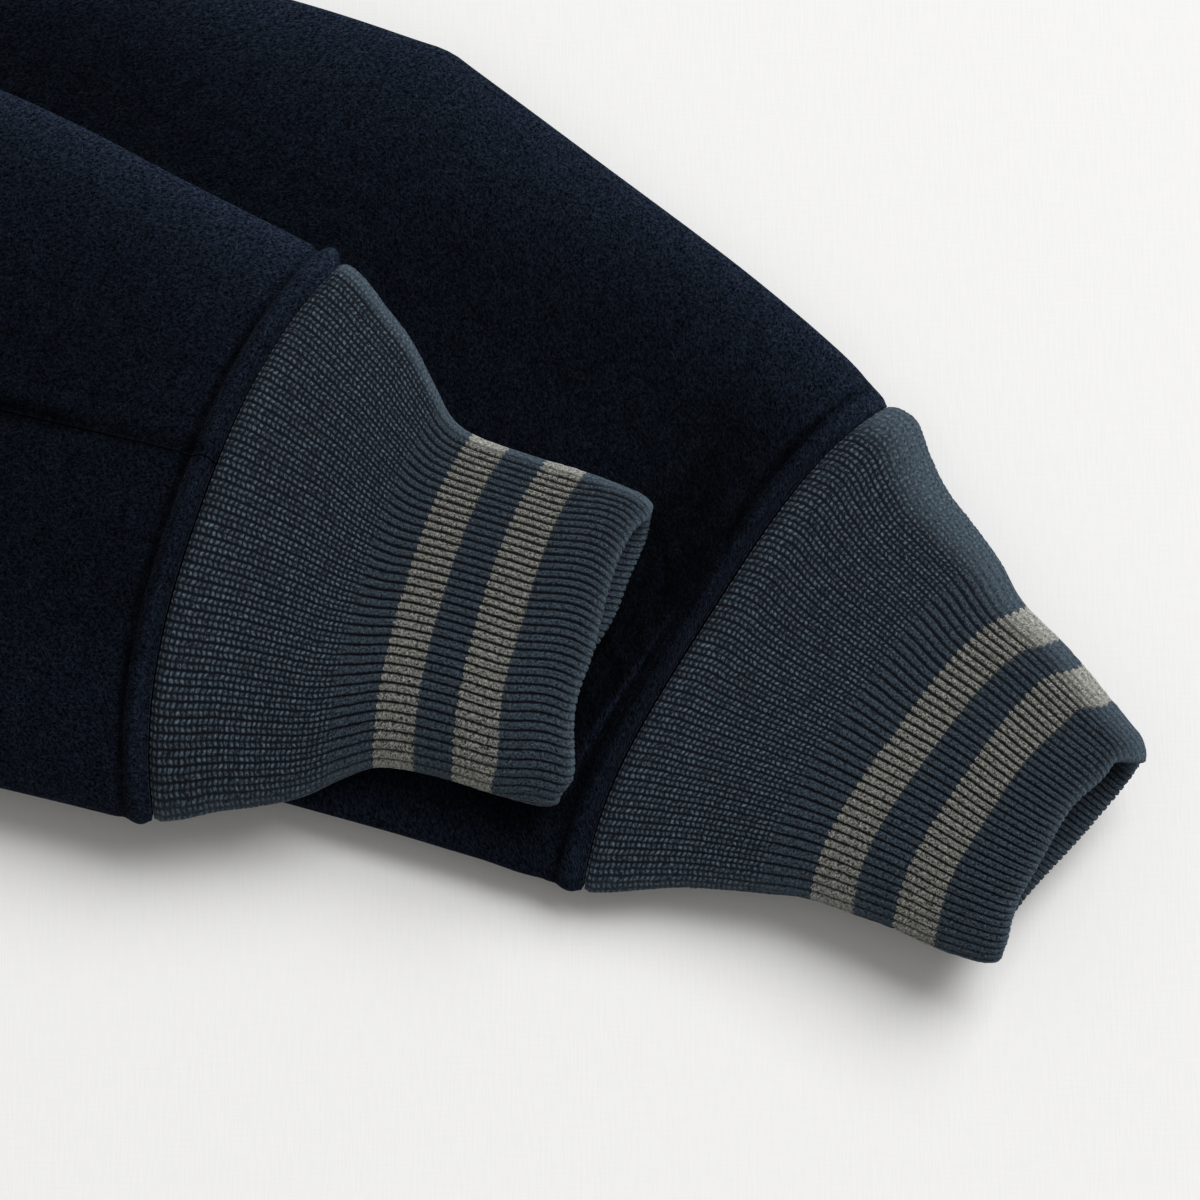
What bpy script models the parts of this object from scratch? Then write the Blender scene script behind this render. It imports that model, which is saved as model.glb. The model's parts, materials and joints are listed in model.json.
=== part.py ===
"""A wool jacket with striped rib cuffs, lying on a table, folded lengthwise with its back outside.

The right half of the jacket lies on the left half, and both sleeves reach out to the same side, the
right sleeve on the left one. Every piece is a wall of cloth through rows of points that are worked
out from the sizes below, in millimetres. +X runs from the fold to the sleeves, +Y to the neck and
+Z up. The origin is on the table, under the middle of the whole jacket.
"""

import math

import bmesh
import bpy
import numpy as np

MM = 0.001
MELTON = 2.4
RIB = 4.0
SEAM_GAP = 0.3

# The body. Widths run from the centre back, or from the side seam on a front.
FOLD_X = -434.0
FOLD_OFF_CENTRE = 30.0
HALF_BACK = 290.0
HALF_SHOULDER = 250.0
HALF_NECK = 85.0
FRONT_WIDTH = 270.0
NECK_POINT_Y = 302.4
BODY_LENGTH = 660.0
SHOULDER_DROP = 45.0
BACK_NECK_DROP = 22.0
FRONT_NECK_DROP = 60.0
ARMHOLE_DEPTH = 240.0
HEM_HEIGHT = 65.0
HEM_DRAWN_IN = 16.0
HEM_PULL_REACH = 90.0
COLLAR_HEIGHT = 55.0
FRONT_EDGE_INSET = 13.0
SHOULDER_PINCH = 15.0

SHOULDER_Y = NECK_POINT_Y - SHOULDER_DROP
UNDERARM_Y = SHOULDER_Y - ARMHOLE_DEPTH
HEM_Y = NECK_POINT_Y - BODY_LENGTH
HEM_TOP_Y = HEM_Y + HEM_HEIGHT

# The four layers of the folded body from the top down: the height of the middle of the cloth, and
# how much higher it stands away from its edges. The bottom layer lies flat on the table.
LAYER = {
    "right_back": {"level": 20.2, "crown": 6.5},
    "right_front": {"level": 13.2, "crown": 2.6},
    "left_front": {"level": 7.2, "crown": 1.0},
    "left_back": {"level": None, "crown": 0.0},
}
CROWN_REACH = 80.0

# Soft folds that the cloth has taken, each a ridge: its middle, the way it runs, and its size
FOLD = ("x", "y", "turn", "length", "breadth", "height")
BODY_FOLDS = (
    (-262.0, -20.0, 62.0, 230.0, 24.0, 4.0),
    (-330.0, -170.0, 84.0, 200.0, 20.0, 3.0),
    (-245.0, -215.0, 100.0, 170.0, 17.0, 3.4),
    (-290.0, 150.0, 28.0, 170.0, 22.0, 3.0),
)
RIGHT_SLEEVE_FOLDS = (
    (-110.0, 90.0, 48.0, 150.0, 15.0, 4.2),
    (-62.0, 52.0, 62.0, 130.0, 13.0, 3.4),
    (-160.0, 132.0, 36.0, 120.0, 17.0, 3.0),
)
LEFT_SLEEVE_FOLDS = (
    (255.0, 0.0, 20.0, 90.0, 16.0, 1.6),
    (-30.0, 178.0, -30.0, 160.0, 14.0, 2.0),
)

# Each sleeve has its own frame: the middle of its cuff seam, and the way its forearm points.
# A section runs across it, from the outer edge of the arm to the inner edge. Loft is the height of
# the flattened tube there, and lift its height above what it lies on. Bow is how far the middle
# lies back from the line of the edges, on an arc of this power, and slant how much further the
# underside reaches than the top at the outer edge. The first section is the armhole, which is
# worked out from the body.
RIGHT_FRAME = {"x": 233.5, "y": -113.6, "turn": -30.2, "arc": 2.5}
LEFT_FRAME = {"x": 342.6, "y": -161.0, "turn": -44.0, "arc": 3.5}
SECTION = (
    "outer_along", "outer_out", "inner_along", "inner_out", "lift", "loft", "bow", "slant"
)
RIGHT_SLEEVE = (
    (-535.0, 98.0, -405.0, -96.5, 2.0, 12.0, 0.0, 0.0),
    (-470.0, 102.0, -372.0, -99.0, 1.0, 18.0, 0.0, 0.0),
    (-385.0, 104.0, -325.0, -99.0, 0.2, 21.0, 0.0, 0.0),
    (-290.0, 102.0, -262.0, -95.0, 0.0, 21.0, 0.0, 0.0),
    (-200.0, 98.0, -190.0, -89.0, 0.0, 20.0, 0.0, 0.0),
    (-96.0, 89.4, -92.0, -78.5, 0.0, 20.0, 2.5, 0.0),
    (-45.0, 81.2, -45.0, -74.0, 0.0, 18.6, 7.0, 0.0),
    (-1.5, 74.6, -1.5, -70.6, 0.0, 17.0, 11.5, 0.0),
)
LEFT_SLEEVE = (
    (-600.0, -33.0, -430.0, -185.0, 0.0, 11.0, 0.0, 0.0),
    (-520.0, -10.5, -375.0, -169.6, 0.0, 17.0, 0.0, 0.0),
    (-415.0, 19.0, -305.0, -150.0, 0.0, 20.0, 0.0, 0.0),
    (-310.0, 48.4, -238.0, -131.5, 0.0, 21.0, 0.0, 0.0),
    (-230.0, 72.5, -188.0, -118.0, 0.0, 22.0, 0.0, 0.0),
    (-180.0, 87.0, -155.0, -110.4, 0.0, 22.0, 0.0, 0.0),
    (-142.0, 95.6, -125.0, -103.4, 0.0, 21.5, 0.5, 0.0),
    (-98.0, 91.4, -90.0, -93.6, 0.0, 20.5, 2.0, 0.0),
    (-48.0, 86.2, -46.0, -80.6, 0.0, 19.0, 5.2, 0.0),
    (-18.0, 81.0, -17.0, -72.8, 0.0, 18.2, 7.8, 0.0),
    (0.3, 76.0, -0.1, -69.0, 0.0, 17.5, 9.2, 0.0),
)

# The cuffs are knitted to shape, wide at the seam and close at the wrist
RIGHT_CUFF = (
    (-1.0, 74.6, -1.0, -70.0, 0.7, 15.6, 11.5, 0.0),
    (5.0, 72.0, 5.6, -67.2, 0.6, 15.0, 10.8, 0.0),
    (12.0, 67.2, 13.4, -62.8, 0.4, 14.6, 9.7, 0.0),
    (21.0, 60.8, 23.0, -58.4, 0.3, 14.2, 8.0, 0.0),
    (29.5, 52.4, 32.0, -53.2, 0.3, 14.0, 6.3, 0.0),
    (37.0, 45.2, 40.0, -46.0, 0.3, 14.0, 4.9, 0.0),
    (44.5, 42.8, 47.5, -41.0, 0.6, 14.2, 4.4, 0.0),
    (58.0, 42.4, 61.0, -39.0, 1.0, 14.6, 4.5, 0.0),
    (73.5, 42.6, 76.5, -38.8, 1.4, 14.8, 4.8, 0.0),
    (91.0, 42.2, 93.6, -37.8, 1.6, 14.4, 3.8, 0.0),
)
LEFT_CUFF = (
    (0.8, 76.4, 0.4, -68.6, 0.6, 16.4, 9.2, 0.0),
    (8.5, 75.8, 6.3, -65.0, 1.1, 16.4, 9.3, 0.0),
    (15.5, 70.2, 12.3, -60.6, 1.8, 16.6, 8.9, 0.0),
    (24.0, 64.2, 19.8, -55.4, 2.7, 16.8, 8.4, 0.0),
    (34.8, 59.4, 28.7, -50.6, 3.8, 17.2, 7.8, 0.4),
    (44.7, 54.6, 38.2, -46.0, 5.0, 17.4, 7.4, 1.0),
    (54.0, 48.6, 47.0, -42.0, 6.1, 17.8, 7.0, 2.0),
    (65.5, 45.2, 58.5, -39.4, 7.2, 18.2, 7.7, 3.4),
    (72.5, 42.6, 68.3, -37.4, 7.9, 18.4, 6.4, 4.6),
    (82.5, 38.2, 79.7, -36.0, 8.7, 18.6, 6.4, 6.0),
    (93.0, 33.4, 94.2, -32.6, 9.4, 18.4, 3.8, 8.4),
)
UNDER_SLEEVE_WIDTH = 86.0
INNER_SEAM_UNDER = 0.3
FULL_LOFT = 17.0
EDGE_POWER = 3.0
FLAT_UNDERSIDE = 1.12

# How finely the tubes are drawn
SLEEVE_SECTIONS = 18
PLACES_ROUND = {"under": 7, "upper": 15}
CUFF_PLACES = 28

# How cloth falls over the edge of what it lies on
DRAPE_RADIUS = 25.0
RESTING_GAP = 1.0

BUTTONS = 5
BUTTON_WIDTH = 18.0
BUTTON_THICK = 2.6
BUTTON_INSET = 13.0
BUTTON_SEAT = 0.6
TOP_BUTTON_Y = 215.0
BUTTON_SPACING = 82.0


def material(name, colour, roughness):
    made = bpy.data.materials.new(name)
    made.use_nodes = True
    shader = made.node_tree.nodes["Principled BSDF"]
    shader.inputs["Base Color"].default_value = (*colour, 1.0)
    shader.inputs["Roughness"].default_value = roughness
    shader.inputs["Metallic"].default_value = 0.0
    return made


def piece(name, mesh_maker, finish):
    """A new object of the mesh that mesh_maker fills in, with every face turned outwards."""
    work = bmesh.new()
    mesh_maker(work)
    bmesh.ops.recalc_face_normals(work, faces=work.faces)
    mesh = bpy.data.meshes.new(name)
    work.to_mesh(mesh)
    work.free()
    mesh.materials.append(finish)
    mesh.shade_smooth()
    mesh.set_sharp_from_angle(angle=math.radians(50))
    made = bpy.data.objects.new(name, mesh)
    bpy.context.scene.collection.objects.link(made)
    return made


def wall(name, faces_of_cloth, finish, all_round=False):
    """A closed wall between the two faces of a cloth, each a grid of points (row, column, 3)."""
    rows, columns = faces_of_cloth[0].shape[:2]
    across = columns if all_round else columns - 1

    def fill(work):
        front, back = (
            [[work.verts.new(point * MM) for point in row] for row in grid]
            for grid in faces_of_cloth
        )

        def quad(a, b, c, d):
            work.faces.new((a, b, c, d))

        for i in range(rows - 1):
            for j in range(across):
                k = (j + 1) % columns
                quad(front[i][j], front[i][k], front[i + 1][k], front[i + 1][j])
                quad(back[i][j], back[i + 1][j], back[i + 1][k], back[i][k])
        for i in (0, rows - 1):
            for j in range(across):
                k = (j + 1) % columns
                quad(front[i][j], front[i][k], back[i][k], back[i][j])
        if not all_round:
            for j in (0, columns - 1):
                for i in range(rows - 1):
                    quad(front[i][j], front[i + 1][j], back[i + 1][j], back[i][j])

    return piece(name, fill, finish)


def ridges(x, y, table):
    """The height that the soft folds of a table add at each place."""
    total = np.zeros(np.broadcast(x, y).shape)
    for row in table:
        fold = dict(zip(FOLD, row))
        way = math.radians(fold["turn"])
        from_x, from_y = x - fold["x"], y - fold["y"]
        along = from_x * math.cos(way) + from_y * math.sin(way)
        aside = from_y * math.cos(way) - from_x * math.sin(way)
        shape = -((aside / fold["breadth"]) ** 2) - (2 * along / fold["length"]) ** 4
        total += fold["height"] * np.exp(shape)
    return total


# ---- The folded body -------------------------------------------------------------------------

RIGHT_HALF = ("right_back", "right_front")
LEFT_HALF = ("left_front", "left_back")
FACES_UP = ("right_back", "left_front")


def half_of(layer):
    return LEFT_HALF if layer in LEFT_HALF else RIGHT_HALF


def level_of(layer, cloth):
    """The height of the middle of this layer. The bottom one lies on the table."""
    return LAYER[layer]["level"] or cloth / 2


def edge_roll(high_layer, low_layer, cloth):
    """The radius and the middle height of the turn from one layer to another."""
    high, low = level_of(high_layer, cloth), level_of(low_layer, cloth)
    return (high - low) / 2, (high + low) / 2


FOLD_RADIUS = edge_roll("right_back", "left_back", MELTON)[0]
FOLD_TAKES = FOLD_RADIUS * (math.pi / 2 - 1)


def from_fold(layer, width):
    """The distance from the fold of a place this far out from the centre line of the jacket."""
    offset = -FOLD_OFF_CENTRE if layer in RIGHT_HALF else FOLD_OFF_CENTRE
    return width + offset - FOLD_TAKES


def top_edge(layer, width):
    """The y at which a panel ends, this far out: at its neck, its shoulder or its armhole."""
    front = layer.endswith("front")
    middle = HALF_BACK - FRONT_WIDTH if front else 0.0
    drop = FRONT_NECK_DROP if front else BACK_NECK_DROP
    share = (abs(width) - middle) / (HALF_NECK - middle)
    if share < 1:
        return NECK_POINT_Y - drop * (1 - max(share, 0.0) ** 2)
    places = (HALF_NECK, HALF_SHOULDER, HALF_BACK)
    return float(np.interp(width, places, (NECK_POINT_Y, SHOULDER_Y, UNDERARM_Y)))


def drawn_in(y):
    """How far the rib pulls the side seams towards the fold at this height."""
    share = min(max((HEM_TOP_Y + HEM_PULL_REACH - y) / HEM_PULL_REACH, 0.0), 1.0)
    return HEM_DRAWN_IN * share**2 * (3 - 2 * share)


def swell(layer, width, y):
    """How far the layer stands above its level, falling to nothing at the fold and its seams."""
    distance = from_fold(layer, width)
    side = from_fold(layer, HALF_BACK)
    room = min(distance, side - distance, top_edge(layer, width) - y)
    share = math.sin(min(max(room / CROWN_REACH, 0.0), 1.0) * math.pi / 2) ** 2
    height = LAYER[layer]["crown"]
    if layer == "right_back":
        height += float(ridges(FOLD_X + distance, y, BODY_FOLDS))
    return height * share


def shoulder_pinch(layer, width, y, cloth):
    """How far a back and its front come together at the shoulder seam between them."""
    radius = edge_roll(*half_of(layer), cloth)[0]
    closed = radius - cloth / 2 - SEAM_GAP / 2
    near = 1 - min(max((top_edge(layer, width) - y) / SHOULDER_PINCH, 0.0), 1.0)
    past_neck = min(max((width - HALF_NECK) / SHOULDER_PINCH, 0.0), 1.0)
    down = -1 if layer in FACES_UP else 1
    return down * closed * near**2 * (3 - 2 * near) * past_neck


def flat(layer, widths):
    """Stations along a flat layer, at these widths."""
    return [{"layer": layer, "width": width, "angle": None} for width in widths]


def turned(layer, width, angles):
    """Stations round the edge of a half, at this width, at angles from level with the table."""
    return [{"layer": layer, "width": width, "angle": angle} for angle in angles]


def round_fold(steps):
    """Stations round the fold, from the top of the right back to the underside of the left."""
    start = FOLD_RADIUS + FOLD_OFF_CENTRE + FOLD_TAKES
    widths = np.linspace(start, 2 * FOLD_OFF_CENTRE - start, steps)
    angles = np.linspace(90, 270, steps)
    return [{"layer": "fold", "width": w, "angle": a} for w, a in zip(widths, angles)]


def body_point(station, y, cloth):
    """The middle of the cloth at a station, and which way its outer face looks."""
    layer, width = station["layer"], station["width"]
    if station["angle"] is None:
        turn = math.radians(90 if layer in FACES_UP else 270)
        x = from_fold(layer, width)
        z = level_of(layer, cloth) + swell(layer, width, y)
        z += shoulder_pinch(layer, width, y, cloth)
    else:
        turn = math.radians(station["angle"])
        pair = ("right_back", "left_back") if layer == "fold" else half_of(layer)
        radius, middle = edge_roll(*pair, cloth)
        edge = radius if layer == "fold" else from_fold(layer, width) - cloth / 2 - radius
        x = edge + radius * math.cos(turn)
        z = middle + radius * math.sin(turn)
    side = from_fold("right_back" if layer in RIGHT_HALF else "left_back", HALF_BACK)
    x *= 1 - drawn_in(y) / side
    return np.array([FOLD_X + x, y, z]), np.array([math.cos(turn), 0.0, math.sin(turn)])


def body_wall(name, stations, ends_of, rows, cloth, finish):
    """A wall along the stations, between the lower and upper y that ends_of gives at each."""
    faces = ([], [])
    for row in rows:
        points = []
        for station in stations:
            low, high = ends_of(station["layer"], station["width"])
            points.append(body_point(station, low + (high - low) * row, cloth))
        for face, side in zip(faces, (0.5, -0.5)):
            face.append([point + facing * cloth * side for point, facing in points])
    return wall(name, [np.array(face) for face in faces], finish)


def panel_ends(layer, width):
    named = "left_back" if layer == "fold" else layer
    return HEM_TOP_Y + SEAM_GAP / 2, top_edge(named, width) - SEAM_GAP / 2


def hem_ends(_layer, _width):
    return HEM_Y, HEM_TOP_Y - SEAM_GAP / 2


def collar_ends(layer, width):
    neck = top_edge("left_back" if layer == "fold" else layer, width) + SEAM_GAP / 2
    return neck, neck + COLLAR_HEIGHT


def front_middle(layer):
    """The width at which a front ends: its own edge, or the fold that it lies against."""
    at_fold = FRONT_EDGE_INSET + FOLD_TAKES
    at_fold += FOLD_OFF_CENTRE if layer in RIGHT_HALF else -FOLD_OFF_CENTRE
    return max(HALF_BACK - FRONT_WIDTH, at_fold)


def back_middle(layer):
    """The width at which a back starts to turn round the fold. The left one passes the centre."""
    offset = FOLD_OFF_CENTRE if layer in RIGHT_HALF else -FOLD_OFF_CENTRE
    return FOLD_RADIUS + FOLD_TAKES + offset


def middle_of(layer):
    return front_middle(layer) if layer.endswith("front") else back_middle(layer)


def widths_of_neck(layer):
    """Widths along a neckline, up to the start of the collar's turn at the neck point."""
    end = HALF_NECK - RIB / 2 - edge_roll(*half_of(layer), RIB)[0]
    return np.linspace(middle_of(layer), end, 5)


def widths_of_panel(layer):
    """Widths from the middle to the start of the side turn, close together over the armhole."""
    end = HALF_BACK - MELTON / 2 - edge_roll(*half_of(layer), MELTON)[0]
    shoulder = np.linspace(HALF_NECK, HALF_SHOULDER, 6)
    armhole = HALF_SHOULDER + (end - HALF_SHOULDER) * np.array([0.2, 0.5, 0.8, 1.0])
    return np.concatenate([widths_of_neck(layer), shoulder, armhole])


def build_body(melton, rib):
    rows = (0.0, 0.12, 0.26, 0.42, 0.58, 0.74, 0.88, 0.96, 1.0)
    seam = math.degrees(SEAM_GAP / 2 / 3.0)
    quarter = np.array([60.0, 30.0, seam])
    fold_steps = round_fold(8)[1:-1]
    right = flat("right_back", widths_of_panel("right_back"))
    left = flat("left_back", widths_of_panel("left_back"))
    back = turned("right_back", HALF_BACK, quarter[::-1]) + right[::-1] + fold_steps
    back += left + turned("left_back", HALF_BACK, 360 - quarter)
    body_wall("back", back, panel_ends, rows, MELTON, melton)
    for layer, angles in (("right_front", -quarter), ("left_front", 360 + quarter)):
        stations = flat(layer, widths_of_panel(layer))
        stations += turned(layer, HALF_BACK, angles)
        body_wall(layer, stations, panel_ends, rows, MELTON, melton)

    def band(edge_width, widths_of):
        """Stations of a doubled rib that goes right round an opening, from front to front."""
        runs = []
        for layer in ("right_front", "right_back", "left_back", "left_front"):
            run = flat(layer, widths_of(layer))
            runs.append(run[::-1] if layer in FACES_UP else run)
        right_turn = turned("right_back", edge_width, (-60, -20, 20, 60))
        left_turn = turned("left_back", edge_width, (300, 340, 380, 420))
        return runs[0] + right_turn + runs[1] + fold_steps + runs[2] + left_turn + runs[3]

    def widths_of_hem(layer):
        end = HALF_BACK - RIB / 2 - edge_roll(*half_of(layer), RIB)[0]
        return np.linspace(middle_of(layer), end, 8)

    body_wall("hem_rib", band(HALF_BACK, widths_of_hem), hem_ends, (0.0, 0.5, 1.0), RIB, rib)
    body_wall("collar", band(HALF_NECK, widths_of_neck), collar_ends, (0.0, 0.5, 1.0), RIB, rib)


# ---- The sleeves and their cuffs -------------------------------------------------------------


def smooth_rows(table, count):
    """The rows of a table with smooth ones between them, along a curve through each column."""
    rows = np.array(table)
    ends = np.concatenate([2 * rows[:1] - rows[1:2], rows, 2 * rows[-1:] - rows[-2:-1]])
    made = []
    for step in np.linspace(0, len(rows) - 1, count):
        k = min(int(step), len(rows) - 2)
        f = step - k
        a, b, c, d = ends[k : k + 4]
        bend = 2 * a - 5 * b + 4 * c - d + f * (3 * (b - c) + d - a)
        made.append(b + 0.5 * f * (c - a + f * bend))
    return np.array(made)


def in_plan(frame, place):
    """The x and y of a place given as (along, out) in the frame of a sleeve."""
    turn = math.radians(frame["turn"])
    along, out = place[..., 0], place[..., 1]
    x = frame["x"] + along * math.cos(turn) - out * math.sin(turn)
    y = frame["y"] + along * math.sin(turn) + out * math.cos(turn)
    return np.stack([x, y], axis=-1)


def ends_of_sections(sections):
    """The outer and inner end of each section as (along, out)."""
    return sections[:, None, 0:2], sections[:, None, 2:4]


def tube(frame, sections, around, cloth, beneath, folds=()):
    """The two faces of the cloth of a flattened tube, at these angles round each section.

    An angle is 0 at the outer edge of the arm and half a turn at the inner edge, on top between
    them. beneath gives the height of what lies under a place.
    """
    column = {name: sections[:, k, None] for k, name in enumerate(SECTION)}
    lift, loft = column["lift"], column["loft"]
    outer_end, inner_end = ends_of_sections(sections)
    width = np.linalg.norm(outer_end - inner_end, axis=-1)
    across, over = np.cos(around), np.sin(around)
    back = column["bow"] * (1 - np.abs(across) ** frame["arc"])
    onwards = column["slant"] * (1 - over) / 2 * (1 + across) / 2 - back
    power = EDGE_POWER * np.maximum(1.0, FULL_LOFT / loft) ** 2
    rounded = np.sqrt(np.clip(1 - np.abs(across) ** power, 0, 1))
    faces = []
    for depth in (0.0, cloth):
        reach = (across * (1 - 2 * depth / width))[..., None]
        local = (outer_end + inner_end) / 2 + reach * (outer_end - inner_end) / 2
        local[..., 0] += onwards
        place = in_plan(frame, local)
        half = loft / 2 - depth
        up = np.where(over >= 0, rounded, -np.minimum(1.0, FLAT_UNDERSIDE * rounded))
        z = beneath(place) + lift + loft / 2 + half * up
        z += ridges(place[..., 0], place[..., 1], folds) * np.clip(over, 0, 1) * rounded
        faces.append(np.concatenate([place, z[..., None]], axis=-1))
    return faces


def on_table(place):
    return np.zeros(place.shape[:-1])


def draped_over(points):
    """What cloth rests on where it lies over these points and falls away round them."""

    def height(place):
        flat_places = place.reshape(-1, 2)
        apart = ((flat_places[:, None, :] - points[None, :, :2]) ** 2).sum(axis=2)
        fall = points[None, :, 2] - apart / (2 * DRAPE_RADIUS)
        return np.maximum(fall.max(axis=1), 0.0).reshape(place.shape[:-1]) + RESTING_GAP

    return height


def armhole_section(frame, half, lift):
    """The section with which a sleeve starts, just clear of the armhole of the folded body."""
    high, low = (level_of(layer, MELTON) for layer in half)
    shoulder, underarm = (
        np.array([FOLD_X + from_fold(half[0], width), y])
        for width, y in ((HALF_SHOULDER, SHOULDER_Y), (HALF_BACK, UNDERARM_Y))
    )
    down = (underarm - shoulder) / np.linalg.norm(underarm - shoulder)
    clear = SEAM_GAP * np.array([-down[1], down[0]])
    turn = math.radians(frame["turn"])
    ends = []
    for x, y in (shoulder + clear, underarm + clear):
        x, y = x - frame["x"], y - frame["y"]
        ends += [x * math.cos(turn) + y * math.sin(turn), y * math.cos(turn) - x * math.sin(turn)]
    return (*ends, lift, high - low + MELTON, 0.0, 0.0)


def sleeve_panels(side, frame, table, seam_on_top, beneath, folds, finish):
    """The upper and the under panel of a sleeve, with the seam between them on top or beneath."""
    sections = smooth_rows(table, SLEEVE_SECTIONS)
    outer_end, inner_end = ends_of_sections(sections)
    width = np.linalg.norm(outer_end - inner_end, axis=-1)
    seam = np.arccos(1 - 2 * (width - UNDER_SLEEVE_WIDTH) / width)
    gap = SEAM_GAP / width
    by_the_top = math.pi + INNER_SEAM_UNDER - gap
    by_the_underside = INNER_SEAM_UNDER - math.pi + gap
    if seam_on_top:
        spans = {"under": (seam + gap, by_the_top), "upper": (seam - gap, by_the_underside)}
    else:
        spans = {"under": (by_the_underside, -seam - gap), "upper": (by_the_top, gap - seam)}
    for panel, (start, end) in spans.items():
        places = np.linspace(0, 1, PLACES_ROUND[panel])[None, :]
        around = start + (end - start) * places
        faces = tube(frame, sections, around, MELTON, beneath, folds)
        wall(f"{side}_{panel}_sleeve", faces, finish)


def cuff(side, frame, table, beneath, finish):
    around = np.linspace(0, 2 * math.pi, CUFF_PLACES, endpoint=False)[None, :]
    faces = tube(frame, np.array(table), around, RIB, beneath)
    wall(f"{side}_cuff", faces, finish, all_round=True)


def build_sleeves(melton, rib):
    left = (armhole_section(LEFT_FRAME, LEFT_HALF, 0.0), *LEFT_SLEEVE)
    sleeve_panels("left", LEFT_FRAME, left, False, on_table, LEFT_SLEEVE_FOLDS, melton)
    cuff("left", LEFT_FRAME, LEFT_CUFF, on_table, rib)

    top = np.linspace(0, math.pi, 70)[None, :]
    arm = tube(LEFT_FRAME, smooth_rows(left, 150), top, 0, on_table, LEFT_SLEEVE_FOLDS)[0]
    hand = tube(LEFT_FRAME, smooth_rows(LEFT_CUFF, 30), top, 0, on_table)[0]
    front = [
        body_point({"layer": "left_front", "width": width, "angle": None}, y, MELTON)[0]
        for width in np.arange(HALF_SHOULDER - 60.0, HALF_BACK, 5.0)
        for y in np.arange(UNDERARM_Y - 60.0, top_edge("left_front", width), 5.0)
    ]
    body = np.array(front) + [0.0, 0.0, MELTON / 2]
    beneath = draped_over(np.concatenate([arm.reshape(-1, 3), hand.reshape(-1, 3), body]))
    lowest = level_of("right_front", MELTON) - level_of("left_front", MELTON) - MELTON
    right = (armhole_section(RIGHT_FRAME, RIGHT_HALF, lowest - RESTING_GAP), *RIGHT_SLEEVE)
    sleeve_panels("right", RIGHT_FRAME, right, True, beneath, RIGHT_SLEEVE_FOLDS, melton)
    cuff("right", RIGHT_FRAME, RIGHT_CUFF, beneath, rib)


def build_buttons(horn):
    """Flat round buttons on the outer face of the right front, which looks down in the fold."""
    x = FOLD_X + FRONT_EDGE_INSET + BUTTON_INSET
    for number in range(BUTTONS):
        y = TOP_BUTTON_Y - number * BUTTON_SPACING
        width = front_middle("right_front") + BUTTON_INSET
        cloth = body_point({"layer": "right_front", "width": width, "angle": None}, y, MELTON)[0]
        z = cloth[2] - MELTON / 2 - BUTTON_SEAT - BUTTON_THICK / 2

        def fill(work):
            radius = BUTTON_WIDTH / 2 * MM
            bmesh.ops.create_cone(
                work, cap_ends=True, segments=20, radius1=radius, radius2=radius,
                depth=BUTTON_THICK * MM,
            )

        made = piece(f"button_{number + 1}", fill, horn)
        made.location = (x * MM, y * MM, z * MM)


for old in list(bpy.data.objects):
    bpy.data.objects.remove(old, do_unlink=True)

navy_melton = material("navy melton", (0.010, 0.014, 0.026), 0.95)
slate_rib = material("slate rib knit", (0.040, 0.058, 0.075), 0.92)
dark_horn = material("dark horn", (0.020, 0.018, 0.016), 0.4)
build_body(navy_melton, slate_rib)
build_sleeves(navy_melton, slate_rib)
build_buttons(dark_horn)
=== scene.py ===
"""A navy wool jacket with striped rib cuffs, lying folded on a table: its cloth, knit and light.

The right half of the jacket lies on the left half, with the back outside, and both sleeves reach
out to the same side. Sizes are in millimetres until a mesh is made. +X runs from the fold of the
body to the sleeves, +Y to the neck and +Z up.
"""

import json
import math
from functools import partial

import bpy
import numpy as np
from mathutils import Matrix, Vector

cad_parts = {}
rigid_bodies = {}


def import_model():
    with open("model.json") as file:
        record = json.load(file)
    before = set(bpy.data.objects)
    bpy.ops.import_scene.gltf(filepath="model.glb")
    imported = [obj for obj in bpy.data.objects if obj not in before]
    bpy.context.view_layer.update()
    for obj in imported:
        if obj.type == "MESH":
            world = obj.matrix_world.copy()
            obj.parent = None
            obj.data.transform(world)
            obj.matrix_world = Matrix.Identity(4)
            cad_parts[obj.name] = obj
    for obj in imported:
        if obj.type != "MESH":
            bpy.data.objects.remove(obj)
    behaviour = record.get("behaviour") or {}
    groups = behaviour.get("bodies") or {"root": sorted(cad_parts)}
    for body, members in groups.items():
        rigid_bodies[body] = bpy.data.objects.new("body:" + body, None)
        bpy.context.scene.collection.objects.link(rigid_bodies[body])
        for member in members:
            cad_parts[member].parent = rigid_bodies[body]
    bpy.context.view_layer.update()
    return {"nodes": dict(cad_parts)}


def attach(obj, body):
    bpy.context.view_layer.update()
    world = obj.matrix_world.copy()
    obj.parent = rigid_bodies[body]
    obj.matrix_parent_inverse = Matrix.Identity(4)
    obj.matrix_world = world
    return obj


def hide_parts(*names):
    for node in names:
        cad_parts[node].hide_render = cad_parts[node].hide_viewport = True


for old in list(bpy.data.objects):
    bpy.data.objects.remove(old, do_unlink=True)
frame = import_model()


# ---- The back ----
# One wide panel of wool melton, folded lengthwise a little off its middle with its outside out, so
# that it is the top and the bottom of the pile. It is sewn along every edge, and each seam sinks
# into the thick cloth.

MM = 0.001
MELTON = 2.4
SEAM_GAP = 0.3
SEAM_SINK = 1.3
SEAM_ROUND = 1.5

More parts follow.
